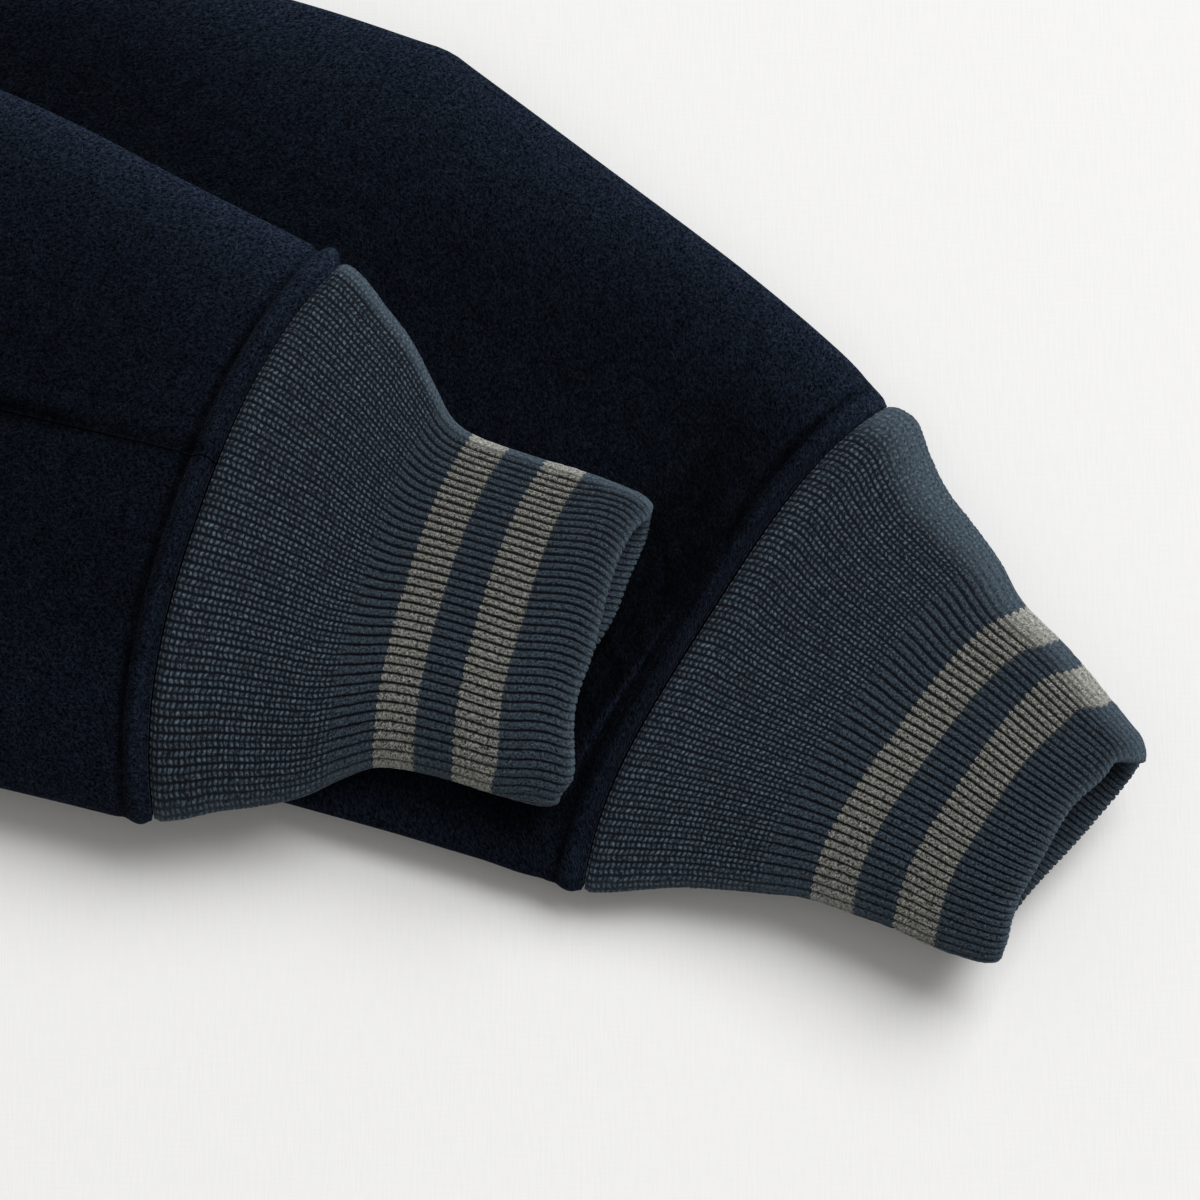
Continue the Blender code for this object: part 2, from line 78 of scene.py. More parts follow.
FOLD_X = -434.0
FOLD_OFF_CENTRE = 30.0
HALF_BACK = 290.0
HALF_SHOULDER = 250.0
HALF_NECK = 85.0
FRONT_WIDTH = 270.0
NECK_POINT_Y = 302.4
BODY_LENGTH = 660.0
SHOULDER_DROP = 45.0
BACK_NECK_DROP = 22.0
FRONT_NECK_DROP = 60.0
ARMHOLE_DEPTH = 240.0
SHOULDER_PINCH = 15.0
HEM_HEIGHT = 65.0
HEM_DRAWN_IN = 16.0
HEM_PULL_REACH = 90.0
SHOULDER_Y = NECK_POINT_Y - SHOULDER_DROP
UNDERARM_Y = SHOULDER_Y - ARMHOLE_DEPTH
HEM_Y = NECK_POINT_Y - BODY_LENGTH
HEM_TOP_Y = HEM_Y + HEM_HEIGHT

RIGHT_HALF = ("right_back", "right_front")
LEFT_HALF = ("left_front", "left_back")
FACES_UP = ("right_back", "left_front")
LEVEL = {"right_back": 20.2, "right_front": 13.2, "left_front": 7.2, "left_back": None}
CROWN = {"right_back": 6.5, "right_front": 2.6, "left_front": 1.0, "left_back": 0.0}
CROWN_REACH = 80.0

BACK_STEP = 5.0
# Painted shade along the seams (depth, breadth), and painted light on the creases of the back.
SEAM_SHADE = (0.12, 3.5)
CREASE_LIGHT = 0.03

FIBRE = ("length", "width", "detail", "roughness", "curl")
TUFTS = (1.3, 0.56, 2.0, 0.6, 0.5)
HAIRS = (2.6, 0.35, 1.0, 0.5, 1.2)
LAYS = ((12.0, 0.0, TUFTS), (71.0, 3.7, TUFTS), (133.0, 8.1, TUFTS), (38.0, 0.0, HAIRS))

CREASE = ("x", "y", "turn", "length", "breadth", "height")
BACK_CREASES = (
    (-262, -20, 62, 230, 24, 4),
    (-330, -170, 84, 200, 20, 3),
    (-245, -215, 100, 170, 17, 3.4),
    (-290, 150, 28, 170, 22, 3),
    (-372, 60, 96, 190, 13, 1.6),
    (-222, 66, 40, 120, 10, 1.5),
    (-300, -252, 92, 80, 9, 1.6),
    (-352, -262, 86, 64, 8, 1.3),
    (-210, -262, 97, 70, 8, 1.4),
    (-330, 235, 12, 90, 12, 1.2),
    (-285, 48, 70, 110, 9, -1.3),
    (-238, -120, 104, 130, 10, -1.2),
    (-368, -90, 80, 120, 12, -1.1),
)


def linear(colour):
    """An sRGB hex colour as a linear one."""
    parts = (int(colour[i : i + 2], 16) / 255 for i in (1, 3, 5))
    return (*(c / 12.92 if c <= 0.04045 else ((c + 0.055) / 1.055) ** 2.4 for c in parts), 1.0)


def add_node(tree, kind, inputs=(), **settings):
    """A new node. Its inputs are given by name, or in their order.

    An input is a plain value, another node's socket, or a node for its first one.
    """
    made = tree.nodes.new("ShaderNode" + kind)
    for name, value in settings.items():
        setattr(made, name, value)
    for name, value in inputs.items() if isinstance(inputs, dict) else enumerate(inputs):
        if isinstance(value, bpy.types.Node):
            value = value.outputs[0]
        if isinstance(value, bpy.types.NodeSocket):
            tree.links.new(value, made.inputs[name])
        else:
            made.inputs[name].default_value = value
    return made


def set_ramp(ramp, *stops):
    """Gives a colour ramp its two stops, each a place and a grey or a hex colour."""
    for point, (place, colour) in zip(ramp.color_ramp.elements, stops):
        point.position = place
        point.color = linear(colour) if isinstance(colour, str) else (colour, colour, colour, 1.0)
    return ramp


def new_material(name):
    """A bare material, and the function that adds a node to it."""
    made = bpy.data.materials.new(name)
    made.use_nodes = True
    made.node_tree.nodes.clear()
    return made, partial(add_node, made.node_tree)


def milled_wool_melton():
    """Wool melton, woven, shrunk to a felt and cropped: matt, with short fibres lying all ways.

    It swallows light, and its pile catches some only where it is seen edge on. The attribute
    nap_and_painted_light makes it lighter along the edges of the arms and on its rims, as raised
    pile and painted sheen, and below 0 it paints shade where stitches, seams and hollows sink in.
    A wool fibre is 0.02 mm thick, so what shows is tufts of them and a few longer hairs. The tufts
    here are about twice as coarse as real ones.
    """
    made, add = new_material("milled_wool_melton")
    cut = add("UVMap", uv_map="cut")
    lying = []
    for turn, seed, kind in LAYS:
        fibre = dict(zip(FIBRE, kind))
        lay = add(
            "Mapping",
            {"Vector": cut, "Location": (seed, seed, 0), "Rotation": (0, 0, math.radians(turn)),
             "Scale": (fibre["length"] * MM, fibre["width"] * MM, 1.0)},
            vector_type="TEXTURE",
        )
        lying.append(add(
            "TexNoise",
            {"Vector": lay, "Scale": 1.0, "Detail": fibre["detail"],
             "Roughness": fibre["roughness"], "Distortion": fibre["curl"]},
            noise_dimensions="2D",
        ))
    tufts, *more_tufts, hairs = lying
    for more in more_tufts:
        tufts = add("Math", (tufts, more), operation="MAXIMUM")
    tufts = set_ramp(add("ValToRGB", {"Fac": tufts}), (0.53, 0.0), (0.79, 1.0))
    hairs = set_ramp(add("ValToRGB", {"Fac": hairs}), (0.68, 0.0), (0.82, 1.0))
    tufts = add("Math", (tufts, hairs), operation="MAXIMUM")
    mottle, cloud = (
        add(
            "TexNoise", {"Vector": cut, "Scale": scale, "Detail": detail, "Roughness": rough},
            noise_dimensions="2D",
        )
        for scale, detail, rough in ((1250.0, 1.0, 0.6), (190.0, 3.0, 0.7))
    )
    mottle = set_ramp(add("ValToRGB", {"Fac": mottle}), (0.38, 0.0), (0.64, 1.0))
    cloud = set_ramp(add("ValToRGB", {"Fac": cloud}), (0.3, 0.0), (0.7, 1.0))
    colour = linear("#020207")
    for share, over in ((cloud, "#070a0e"), (mottle, "#151c2b"), (tufts, "#303c4d")):
        colour = add("Mix", {"Factor": share, "A": colour, "B": linear(over)}, data_type="RGBA")
        colour = colour.outputs["Result"]
    # Painted sheen, highlights and shade: the attribute read here makes the cloth lighter along edges,
    # rims and crease tops, and darker in stitched grooves, seams and hollows.
    nap_and_painted_light = add("Attribute", attribute_name="nap_and_painted_light").outputs["Fac"]
    lighter = add("Math", (nap_and_painted_light, 0.7, 0.225), operation="MULTIPLY_ADD")
    lighter = add("Math", (cloud, 0.12, lighter), operation="MULTIPLY_ADD")
    colour = add("VectorMath", {0: colour, "Scale": lighter}, operation="SCALE")
    pile = add("Math", (tufts, mottle), operation="ADD")
    bump = add("Bump", {"Height": pile, "Strength": 0.5, "Distance": 0.3 * MM})
    shader = add(
        "BsdfPrincipled",
        {"Base Color": colour, "Normal": bump, "Roughness": 0.95, "IOR": 1.45,
         "Specular IOR Level": 0.03, "Sheen Weight": 0.1, "Sheen Roughness": 0.28,
         "Sheen Tint": linear("#9aabd0")},
    )
    add("OutputMaterial", {"Surface": shader})
    return made


def half_of(layer):
    return LEFT_HALF if layer in LEFT_HALF else RIGHT_HALF


def level_of(layer, cloth):
    """The height of the middle of this layer. The bottom one lies on the table."""
    return LEVEL[layer] or cloth / 2


def edge_roll(high_layer, low_layer, cloth):
    """The radius and the middle height of the turn from one layer to another."""
    high, low = level_of(high_layer, cloth), level_of(low_layer, cloth)
    return (high - low) / 2, (high + low) / 2


FOLD_RADIUS = edge_roll("right_back", "left_back", MELTON)[0]
FOLD_TAKES = FOLD_RADIUS * (math.pi / 2 - 1)


def off_centre(layer):
    """How far out from the jacket's centre line the fold lies, less than 0 where it is past it."""
    return FOLD_OFF_CENTRE if layer in RIGHT_HALF else -FOLD_OFF_CENTRE


def from_fold(layer, width):
    """The distance from the fold of a place this far out from the centre line of the jacket."""
    return width - off_centre(layer) - FOLD_TAKES


def top_edge(layer, width):
    """The y at which a panel ends, this far out: at its neck, its shoulder or its armhole."""
    front = layer.endswith("front")
    middle = HALF_BACK - FRONT_WIDTH if front else 0.0
    drop = FRONT_NECK_DROP if front else BACK_NECK_DROP
    share = (abs(width) - middle) / (HALF_NECK - middle)
    if share < 1:
        return NECK_POINT_Y - drop * (1 - max(share, 0.0) ** 2)
    places = (HALF_NECK, HALF_SHOULDER, HALF_BACK)
    return float(np.interp(width, places, (NECK_POINT_Y, SHOULDER_Y, UNDERARM_Y)))


def smooth(share):
    share = np.clip(share, 0.0, 1.0)
    return share**2 * (3 - 2 * share)


def seen_from(base, x, y):
    """How far along and how far aside of a turned base a place lies."""
    turn = math.radians(base["turn"])
    x, y = x - base["x"], y - base["y"]
    return x * math.cos(turn) + y * math.sin(turn), y * math.cos(turn) - x * math.sin(turn)


def creases(x, y, table):
    """The height that the soft creases of a table add at each place."""
    total = np.zeros(np.broadcast(x, y).shape)
    for row in table:
        fold = dict(zip(CREASE, row))
        along, aside = seen_from(fold, x, y)
        shape = -((aside / fold["breadth"]) ** 2) - (2 * along / fold["length"]) ** 4
        total += fold["height"] * np.exp(shape)
    return total


def swell(layer, width, y):
    """How far the layer stands above its level, falling to nothing at the fold and its seams."""
    distance, side = from_fold(layer, width), from_fold(layer, HALF_BACK)
    room = np.minimum(min(distance, side - distance), top_edge(layer, width) - y)
    share = np.sin(np.clip(room / CROWN_REACH, 0, 1) * math.pi / 2) ** 2
    height = CROWN[layer]
    if layer == "right_back":
        height = height + creases(FOLD_X + distance, y, BACK_CREASES)
    return height * share


def shoulder_pinch(layer, width, y, cloth):
    """How far a back and its front come together at the shoulder seam between them."""
    closed = edge_roll(*half_of(layer), cloth)[0] - cloth / 2 - SEAM_GAP / 2
    near = smooth(1 - (top_edge(layer, width) - y) / SHOULDER_PINCH)
    past_neck = min(max((width - HALF_NECK) / SHOULDER_PINCH, 0.0), 1.0)
    return (-closed if layer in FACES_UP else closed) * near * past_neck


def flat(layer, start, end, step):
    """Stations along a flat layer from one width to another: a layer, a width, no angle."""
    return [(layer, w, None) for w in np.linspace(start, end, round(abs(end - start) / step) + 1)]


def turned(layer, width, start, end, count):
    """Stations round the edge of a half, between two angles from level with the table."""
    return [(layer, width, angle) for angle in np.linspace(start, end, count)]


def round_fold(count):
    """Stations round the fold, from the top of the right back to the underside of the left."""
    start = FOLD_RADIUS + FOLD_OFF_CENTRE + FOLD_TAKES
    widths = np.linspace(start, 2 * FOLD_OFF_CENTRE - start, count)[1:-1]
    return [("fold", w, a) for w, a in zip(widths, np.linspace(90, 270, count)[1:-1])]


def body_line(station, y, cloth):
    """The middle of the cloth up one station, at each y, and which way its outer face looks."""
    layer, width, angle = station
    if angle is None:
        turn = math.radians(90 if layer in FACES_UP else 270)
        x = from_fold(layer, width)
        z = level_of(layer, cloth) + swell(layer, width, y) + shoulder_pinch(layer, width, y, cloth)
    else:
        turn = math.radians(angle)
        pair = ("right_back", "left_back") if layer == "fold" else half_of(layer)
        radius, middle = edge_roll(*pair, cloth)
        edge = radius if layer == "fold" else from_fold(layer, width) - cloth / 2 - radius
        x = edge + radius * math.cos(turn)
        z = np.full(y.shape, middle + radius * math.sin(turn))
    drawn = HEM_DRAWN_IN * smooth((HEM_TOP_Y + HEM_PULL_REACH - y) / HEM_PULL_REACH)
    place = np.stack([FOLD_X + x * (1 - drawn / from_fold(layer, HALF_BACK)), y, z], axis=-1)
    return place, np.array([math.cos(turn), 0.0, math.sin(turn)])


def back_middle(layer):
    """The width at which the back starts to turn round the fold. Its left side passes the centre."""
    return FOLD_RADIUS + FOLD_TAKES + off_centre(layer)


def side_start(layer, cloth, edge=HALF_BACK):
    """The width at which a layer starts to turn at its outer edge."""
    return edge - cloth / 2 - edge_roll(*half_of(layer), cloth)[0]


NEAR_A_SEAM = np.array([0.0, 0.5, 1.0, 1.7, 2.6, 4.0])


def panel_marks(length, step, widest):
    """Places along a cloth of this length, close together at its ends, a fixed number of them."""
    margin = NEAR_A_SEAM[-1]
    middle = np.linspace(margin, length - margin, max(2, round(widest / step)))[1:-1]
    return np.concatenate([NEAR_A_SEAM, middle, length - NEAR_A_SEAM[::-1]])


def panel_lines(stations, cloth, step):
    """The two faces of a panel of the body, as grids (along y, along the stations)."""
    outer, inner = [], []
    low = HEM_TOP_Y + SEAM_GAP / 2
    for station in stations:
        high = top_edge(*station[:2]) - SEAM_GAP / 2
        y = low + panel_marks(high - low, step, NECK_POINT_Y - HEM_TOP_Y)
        place, facing = body_line(station, y, cloth)
        outer.append(place + facing * cloth / 2)
        inner.append(place - facing * cloth / 2)
    return np.stack(outer, axis=1), np.stack(inner, axis=1)


def gone_along(points, axis=0):
    """How far a line through these points has gone at each of them."""
    steps = np.linalg.norm(np.diff(points, axis=axis), axis=-1)
    return np.insert(steps.cumsum(axis=axis), 0, 0.0, axis=axis)


def from_borders(grid):
    """The distance along the cloth from its first and last row, and first and last column."""
    found = []
    for axis in (0, 1):
        gone = gone_along(grid, axis)
        found += [gone, gone.max(axis=axis, keepdims=True) - gone]
    return found


def hump(distance, height, breadth):
    """The relief of a line that stands up from the cloth, at a distance from its middle."""
    return height * np.exp(-((distance / breadth) ** 2))


def dip(distance, depth=SEAM_SINK, breadth=SEAM_ROUND):
    """The relief of a line that sinks into the cloth."""
    return -hump(distance, depth, breadth)


def unit(way):
    return way / np.linalg.norm(way, axis=-1, keepdims=True)


def raised(outer, inner, relief):
    """The outer face moved out by the relief, away from the inner one."""
    return outer + unit(outer - inner) * relief[..., None]


def add_cloth(name, ring, cut, finish, slot, node, all_round=False, nap_and_painted_light=None):
    """A closed piece of cloth. ring runs round its thickness with rows and across it with columns.

    cut is each place in the flat cloth. A tube has one more column of it than of the ring. The
    piece takes the place of one solid, its node.
    """
    turns, across = ring.shape[:2]
    index = np.arange(turns * across).reshape(turns, across)
    i = np.arange(turns)[:, None]
    j = np.arange(across if all_round else across - 1)[None, :]
    corners = ((i, j), (i, j + 1), (i + 1, j + 1), (i + 1, j))
    quads = [index[a % turns, b % across] + 0 * (i + j) for a, b in corners]
    marks = [cut[a % turns, b] + 0.0 * (i + j)[..., None] for a, b in corners]
    quads = np.stack(quads, axis=-1).reshape(-1, 4)
    marks = np.stack(marks, axis=-2).reshape(-1, 4, 2)
    if not all_round:
        k = np.arange(turns // 2 - 1)
        for column, way in ((0, 1), (across - 1, -1)):
            four = (k, turns - 1 - k, turns - 2 - k, k + 1)[::way]
            quads = np.concatenate([quads, np.stack([index[a, column] for a in four], axis=-1)])
            ends = np.stack([cut[a, column] for a in four], axis=-2)
            marks = np.concatenate([marks, ends])
    points = np.maximum(ring.reshape(-1, 3), (-np.inf, -np.inf, 0.0))
    a, b, c, d = (points[quads[:, n]] for n in range(4))
    if (np.cross(c - a, d - b) * (a + c)).sum() < 0:
        quads, marks = quads[:, ::-1], marks[:, ::-1]
    mesh = bpy.data.meshes.new(name)
    mesh.from_pydata((points * MM).tolist(), [], quads.tolist())
    mesh.uv_layers.new(name="cut").data.foreach_set("uv", marks.ravel())
    # The attribute stored here carries painted sheen, highlights and shade into the colour of the
    # materials.
    if nap_and_painted_light is not None:
        nap_and_light = mesh.attributes.new("nap_and_painted_light", "FLOAT", "POINT")
        nap_and_light.data.foreach_set("value", nap_and_painted_light.ravel())
    mesh.materials.append(finish)
    mesh.shade_smooth()
    made = bpy.data.objects.new(name, mesh)
    bpy.context.scene.collection.objects.link(made)
    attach(made, "root")
    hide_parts(node)
    return made


def over_and_back(outer, inner):
    return np.concatenate([outer, inner[::-1]])


def both_faces(outer, inner):
    """The ring of a panel, over its outer face and back along its inner one, and its cut."""
    along, _, across, _ = from_borders(outer)
    cut = np.stack([across, along], axis=-1) * MM
    return over_and_back(outer, inner), over_and_back(cut, cut)


SIDE_RADIUS = 3.0
SEAM_ANGLE = math.degrees(SEAM_GAP / 2 / SIDE_RADIUS)
melton = milled_wool_melton()
stations = turned("right_back", HALF_BACK, SEAM_ANGLE, 80, 8)
stations += flat("right_back", side_start("right_back", MELTON), back_middle("right_back"), BACK_STEP)
stations += round_fold(14)
stations += flat("left_back", back_middle("left_back"), side_start("left_back", MELTON), BACK_STEP)
stations += turned("left_back", HALF_BACK, 280, 360 - SEAM_ANGLE, 8)
outer, inner = panel_lines(stations, MELTON, BACK_STEP)
# Painted shade along every seam, and painted light on the tops of creases with painted shade in their
# hollows.
relief, nap_and_light = (
    sum(dip(distance, depth, breadth) for distance in from_borders(outer))
    for depth, breadth in ((SEAM_SINK, SEAM_ROUND), SEAM_SHADE)
)
nap_and_light = nap_and_light + CREASE_LIGHT * creases(outer[..., 0], outer[..., 1], BACK_CREASES)
back = add_cloth(
    "back_panel", *both_faces(raised(outer, inner, relief), inner), melton, "melton", "back",
    nap_and_painted_light=over_and_back(nap_and_light, nap_and_light),
)


# ---- The fronts ----
# Two panels of the same melton, lying face to face inside the folded back. Each one's front edge
# is turned in and stitched 6 mm from its fold.

FRONT_EDGE_INSET = 13.0
EDGE_STITCH = 6.0
EDGE_STITCHING = (0.6, 1.0)
STITCHED_PART = 9.0
FRONT_STEP = 6.0


def front_middle(layer):
    """The width at which a front ends: its own edge, or the fold that it lies against."""
    return max(HALF_BACK - FRONT_WIDTH, FRONT_EDGE_INSET + FOLD_TAKES + off_centre(layer))


for layer, first, last in (
    ("right_front", -80.0, -SEAM_ANGLE),
    ("left_front", 440.0, 360.0 + SEAM_ANGLE),
):
    start = front_middle(layer)
    stations = flat(layer, start, start + STITCHED_PART, 1.0)
    plain_part = start + STITCHED_PART + BACK_STEP
    stations += flat(layer, plain_part, side_start(layer, MELTON), FRONT_STEP)
    stations += turned(layer, HALF_BACK, first, last, 7)
    outer, inner = panel_lines(stations, MELTON, FRONT_STEP)
    hem, neck, edge, side = from_borders(outer)
    relief = dip(hem) + dip(neck) + dip(edge) + dip(side)
    relief += dip(edge - EDGE_STITCH, *EDGE_STITCHING)
    outer = raised(outer, inner, relief)
    front = add_cloth(f"{layer}_panel", *both_faces(outer, inner), melton, "melton", layer)


# ---- The hem rib ----
# A band of 1x1 rib knit in slate wool, doubled over at its lower edge and sewn to the body from one
# front edge to the other. It is a little stretched, so its ribs stand 2.8 mm apart.

RIB = 4.0
RIB_GROOVE = 0.5
OPEN_GROOVE = 0.3
STITCH_RELIEF = 0.12
COURSE = 1.25
HEM_RIB_PITCH = 2.8
COLUMNS_A_RIB = 5
RAGGED_MEAN = 0.6
BEND_OUTSIDE, BEND_INSIDE, BEND_CREST = 6.0, 2.5, 0.6
RIB_SEAM = (1.0, 1.3)
BEND_FLATTENS = 0.45


def worsted_rib_knit(name, opens=None, stripes=()):
    """Rib knit of worsted wool: plump matt yarn, with painted shade in the grooves between its ribs.

    The u of its cut counts ribs and the v counts courses of stitches, 1.25 mm each. Where the rib is
    open, both legs of each stitch show as separate dots, and where it is closed the legs lie in a
    ridge of slanting loops. opens holds the two courses between which it closes. Stripes are
    knitted in, each from a middle course to so many courses on either side. Its colour runs from
    painted shade in the grooves and between the stitches to the yarn where it stands high. Loose
    fibres, with painted sheen on them, lighten the yarn and hide the stitches where the attribute
    nap_and_painted_light is high.
    """
    made, add = new_material(name)
    cut = add("UVMap", uv_map="cut")
    sway = add("TexNoise", {"Vector": cut, "Scale": 0.55, "Detail": 1.0}, noise_dimensions="2D")
    cut = add(
        "VectorMath", (sway.outputs["Color"], (0.12, 0.3, 0.0), cut), operation="MULTIPLY_ADD"
    )
    split = add("SeparateXYZ", {"Vector": cut})
    rib, course = split.outputs["X"], split.outputs["Y"]
    fibres = add("VectorMath", (cut, (4.2, 1.9, 1.0)), operation="MULTIPLY")
    fibres = add(
        "TexNoise",
        {"Vector": fibres, "Scale": 1.0, "Detail": 2.0, "Roughness": 0.7, "Distortion": 0.4},
        noise_dimensions="2D",
    )
    waver = add("TexNoise", {"Vector": cut, "Scale": 1.2, "Detail": 1.0}, noise_dimensions="2D")
    from_groove = add("Math", (rib, 0.5), operation="PINGPONG")

    # The open rib: two legs a stitch, each as bright as chance has it, bridged over the grooves.
    askew = add("Math", (waver, 0.4, course), operation="MULTIPLY_ADD")
    askew = add("Math", (from_groove, 0.7, askew), operation="MULTIPLY_ADD")
    from_course = add("Math", (askew, 0.5), operation="PINGPONG")
    legs = add("Math", (rib, 2.0), operation="MULTIPLY")
    from_leg_edge = add("Math", (legs, 0.5), operation="PINGPONG")
    cell = add("VectorMath", (add("CombineXYZ", (legs, askew)),), operation="FLOOR")
    chance = add("TexWhiteNoise", {"Vector": cell}, noise_dimensions="2D")
    chance = add("Math", (chance, 0.286, 0.312), operation="MULTIPLY_ADD")
    leg, stitch, bridged = (
        add("MapRange", (place, low, high), interpolation_type="SMOOTHSTEP")
        for place, low, high in (
            (from_leg_edge, -0.02, 0.42), (from_course, -0.02, 0.44), (from_groove, 0.02, 0.15),
        )
    )
    dot = add("Math", (leg, stitch), operation="MULTIPLY")
    dot = add("Math", (dot, chance), operation="MULTIPLY")
    bridge = add("Math", (stitch, 0.2), operation="MULTIPLY")
    bridged = add("Math", (bridged, bridge), operation="MAXIMUM")
    wide = add("Math", (dot, bridged), operation="MULTIPLY")

    # The closed rib: a ridge of loops that slant away from the groove, two for each course.
    ridge = add("Math", (waver, -0.2, from_groove), operation="MULTIPLY_ADD")
    ridge = add("MapRange", (ridge, -0.06, 0.18), interpolation_type="SMOOTHSTEP")
    slope = add("Math", (course, 2.0), operation="MULTIPLY")
    loops = add("Math", (from_groove, 2.4, slope), operation="MULTIPLY_ADD")
    loops = add("Math", (loops, 0.5), operation="PINGPONG")
    loops = add("Math", (loops, 0.27, 0.155), operation="MULTIPLY_ADD")
    height = add("Math", (loops, ridge), operation="MULTIPLY")
    if opens:
        closed = add("MapRange", (course, *opens), interpolation_type="SMOOTHSTEP")
        height = add("Mix", {"Factor": closed, "A": wide, "B": height})

    # The yarn: painted shade in its grooves and gaps, lighter where it stands high, each fibre by
    # itself, and lighter and all alike where fibres are raised, with painted sheen.
    lit = add("Math", (fibres, 5.6, -1.75), operation="MULTIPLY_ADD")
    lit = add("Math", (height, lit), operation="MULTIPLY")
    # Raised fibres with painted sheen: lighter, even yarn where the attribute is high.
    fuzz_and_sheen = add("Math", (fibres, 2.0, -0.24), operation="MULTIPLY_ADD")
    nap_and_painted_light = add("Attribute", attribute_name="nap_and_painted_light").outputs["Fac"]
    lit = add("Mix", {"Factor": nap_and_painted_light, "A": lit, "B": fuzz_and_sheen})
    ragged = add("Math", (from_groove, 0.9, course), operation="MULTIPLY_ADD")
    ragged = add("Math", (fibres, 0.8, ragged), operation="MULTIPLY_ADD")
    # The gap colours are painted shade in the grooves and between the stitches, also within the
    # stripes.
    gap, yarn = linear("#050912"), linear("#566673")
    for middle, reach in stripes:
        inside = add("Math", (ragged, middle + RAGGED_MEAN, reach), operation="COMPARE")
        gap, yarn = (
            add("Mix", {"Factor": inside, "A": plain, "B": linear(grey)}, data_type="RGBA")
            .outputs["Result"]
            for plain, grey in ((gap, "#141412"), (yarn, "#bfbfb9"))
        )
    colour = add("Mix", {"Factor": lit, "A": gap, "B": yarn}, data_type="RGBA")
    relief = add("Math", (fibres, 0.5, height), operation="MULTIPLY_ADD")
    bump = add("Bump", {"Height": relief, "Strength": 0.7, "Distance": 0.4 * MM})
    shader = add(
        "BsdfPrincipled",
        {"Base Color": colour.outputs["Result"], "Normal": bump, "Roughness": 0.88, "IOR": 1.5,
         "Specular IOR Level": 0.12, "Sheen Weight": 0.1, "Sheen Roughness": 0.5,
         "Sheen Tint": linear("#b4c0c8")},
    )
    add("OutputMaterial", {"Surface": shader})
    return made


def rib_relief(rib, course, closed):
    """How far the knit lies below its highest points: its grooves, and the gaps between stitches."""
    from_middle = np.abs(rib % 1 - 0.5) * 2
    row = np.abs(course % 1 - 0.5) * 2
    narrow = -RIB_GROOVE * smooth((from_middle - 0.55) / 0.45) - 0.08 * row**2
    groove = OPEN_GROOVE * smooth((from_middle - 0.6) / 0.4) * (0.5 + 0.5 * row**2)
    wide = -groove - STITCH_RELIEF * (hump(from_middle, 1.0, 0.2) + row**2)
    return closed * narrow + (1 - closed) * wide


def doubled(out, back, length):
    """The rows of a doubled rib, out to its fold and back: from its seam, how deep, which way."""
    over = np.radians(np.linspace(0, 90, 7))[1:]
    under = np.radians(np.linspace(90, 180, 5))[1:]
    crest = BEND_CREST * RIB
    along = [out, length + BEND_OUTSIDE * (np.sin(over) - 1)]
    along += [length + BEND_INSIDE * (np.sin(under) - 1), back]
    depth = [0 * out, crest * (1 - np.cos(over))]
    depth += [crest - (RIB - crest) * np.cos(under), 0 * back + RIB]
    turn = [0 * out, over, under, 0 * back + math.pi]
    return tuple(np.concatenate(part) for part in (along, depth, turn))


def band_round(edge, pitch):
    """Stations of a doubled rib that goes round an opening of the folded body, front to front."""
    runs = []
    for layer in ("right_front", "right_back", "left_back", "left_front"):
        start = front_middle(layer) if layer.endswith("front") else back_middle(layer)
        run = flat(layer, start, side_start(layer, RIB, edge), pitch / COLUMNS_A_RIB)
        runs.append(run[::-1] if layer in FACES_UP else run)
    right = turned("right_back", edge, -90, 90, 20)[1:-1]
    left = turned("left_back", edge, 270, 450, 16)[1:-1]
    return runs[0] + right + runs[1] + round_fold(48) + runs[2] + left + runs[3]


def rib_band(name, node, edge, pitch, seam_of, way, length):
    """A doubled rib round an opening with this half width, from its seam in the given way of y."""
    out = np.concatenate([[0.0, 0.7, 1.6], np.linspace(4.0, length - BEND_OUTSIDE, 9)])
    along, depth, turn = doubled(out, np.linspace(length - 8.0, 0.0, 5), length)
    middle, facing = [], []
    for station in band_round(edge, pitch):
        place, outwards = body_line(station, seam_of(*station[:2]) + way * along, RIB)
        middle.append(place)
        facing.append(np.broadcast_to(outwards, place.shape))
    middle, facing = np.stack(middle, axis=1), np.stack(facing, axis=1)
    ribs = from_borders(middle[:1])[2] / pitch
    courses = (along + (turn > 0) * 2 * (length - along))[:, None] / COURSE
    over, bend = np.cos(turn)[:, None], np.sin(turn)[:, None]
    relief = rib_relief(ribs, courses, 1.0) * (1 - BEND_FLATTENS * bend)
    relief += dip(along[:, None], *RIB_SEAM)
    normal = facing * over[..., None] + np.array([0.0, way, 0.0]) * bend[..., None]
    ring = middle + facing * (RIB / 2 - depth)[:, None, None] + normal * relief[..., None]
    cut = np.stack(np.broadcast_arrays(ribs, courses), axis=-1)
    return add_cloth(name, ring, cut, plain_rib, "rib_knit", node)


plain_rib = worsted_rib_knit("worsted_rib_knit_slate")
hem = rib_band(
    "hem_band", "hem_rib", HALF_BACK, HEM_RIB_PITCH,
    lambda layer, width: HEM_TOP_Y - SEAM_GAP / 2, -1.0, HEM_HEIGHT - SEAM_GAP / 2,
)


# ---- The collar ----
# A shorter band of the same rib, doubled over at its top and sewn round the neckline. It stands up
# when the jacket is worn, and lies flat here with the rest.

COLLAR_HEIGHT = 55.0
COLLAR_RIB_PITCH = 2.5

collar = rib_band(
    "collar_band", "collar", HALF_NECK, COLLAR_RIB_PITCH,
    lambda layer, width: top_edge(layer, width) + SEAM_GAP / 2, 1.0, COLLAR_HEIGHT,
)


# ---- The left sleeve ----
# A two-piece sleeve of melton, which lies flattened on the table with its elbow a little bent. Its
# end is turned in and stitched 6.5 mm from the cuff, so that it makes a raised rim like a piping.

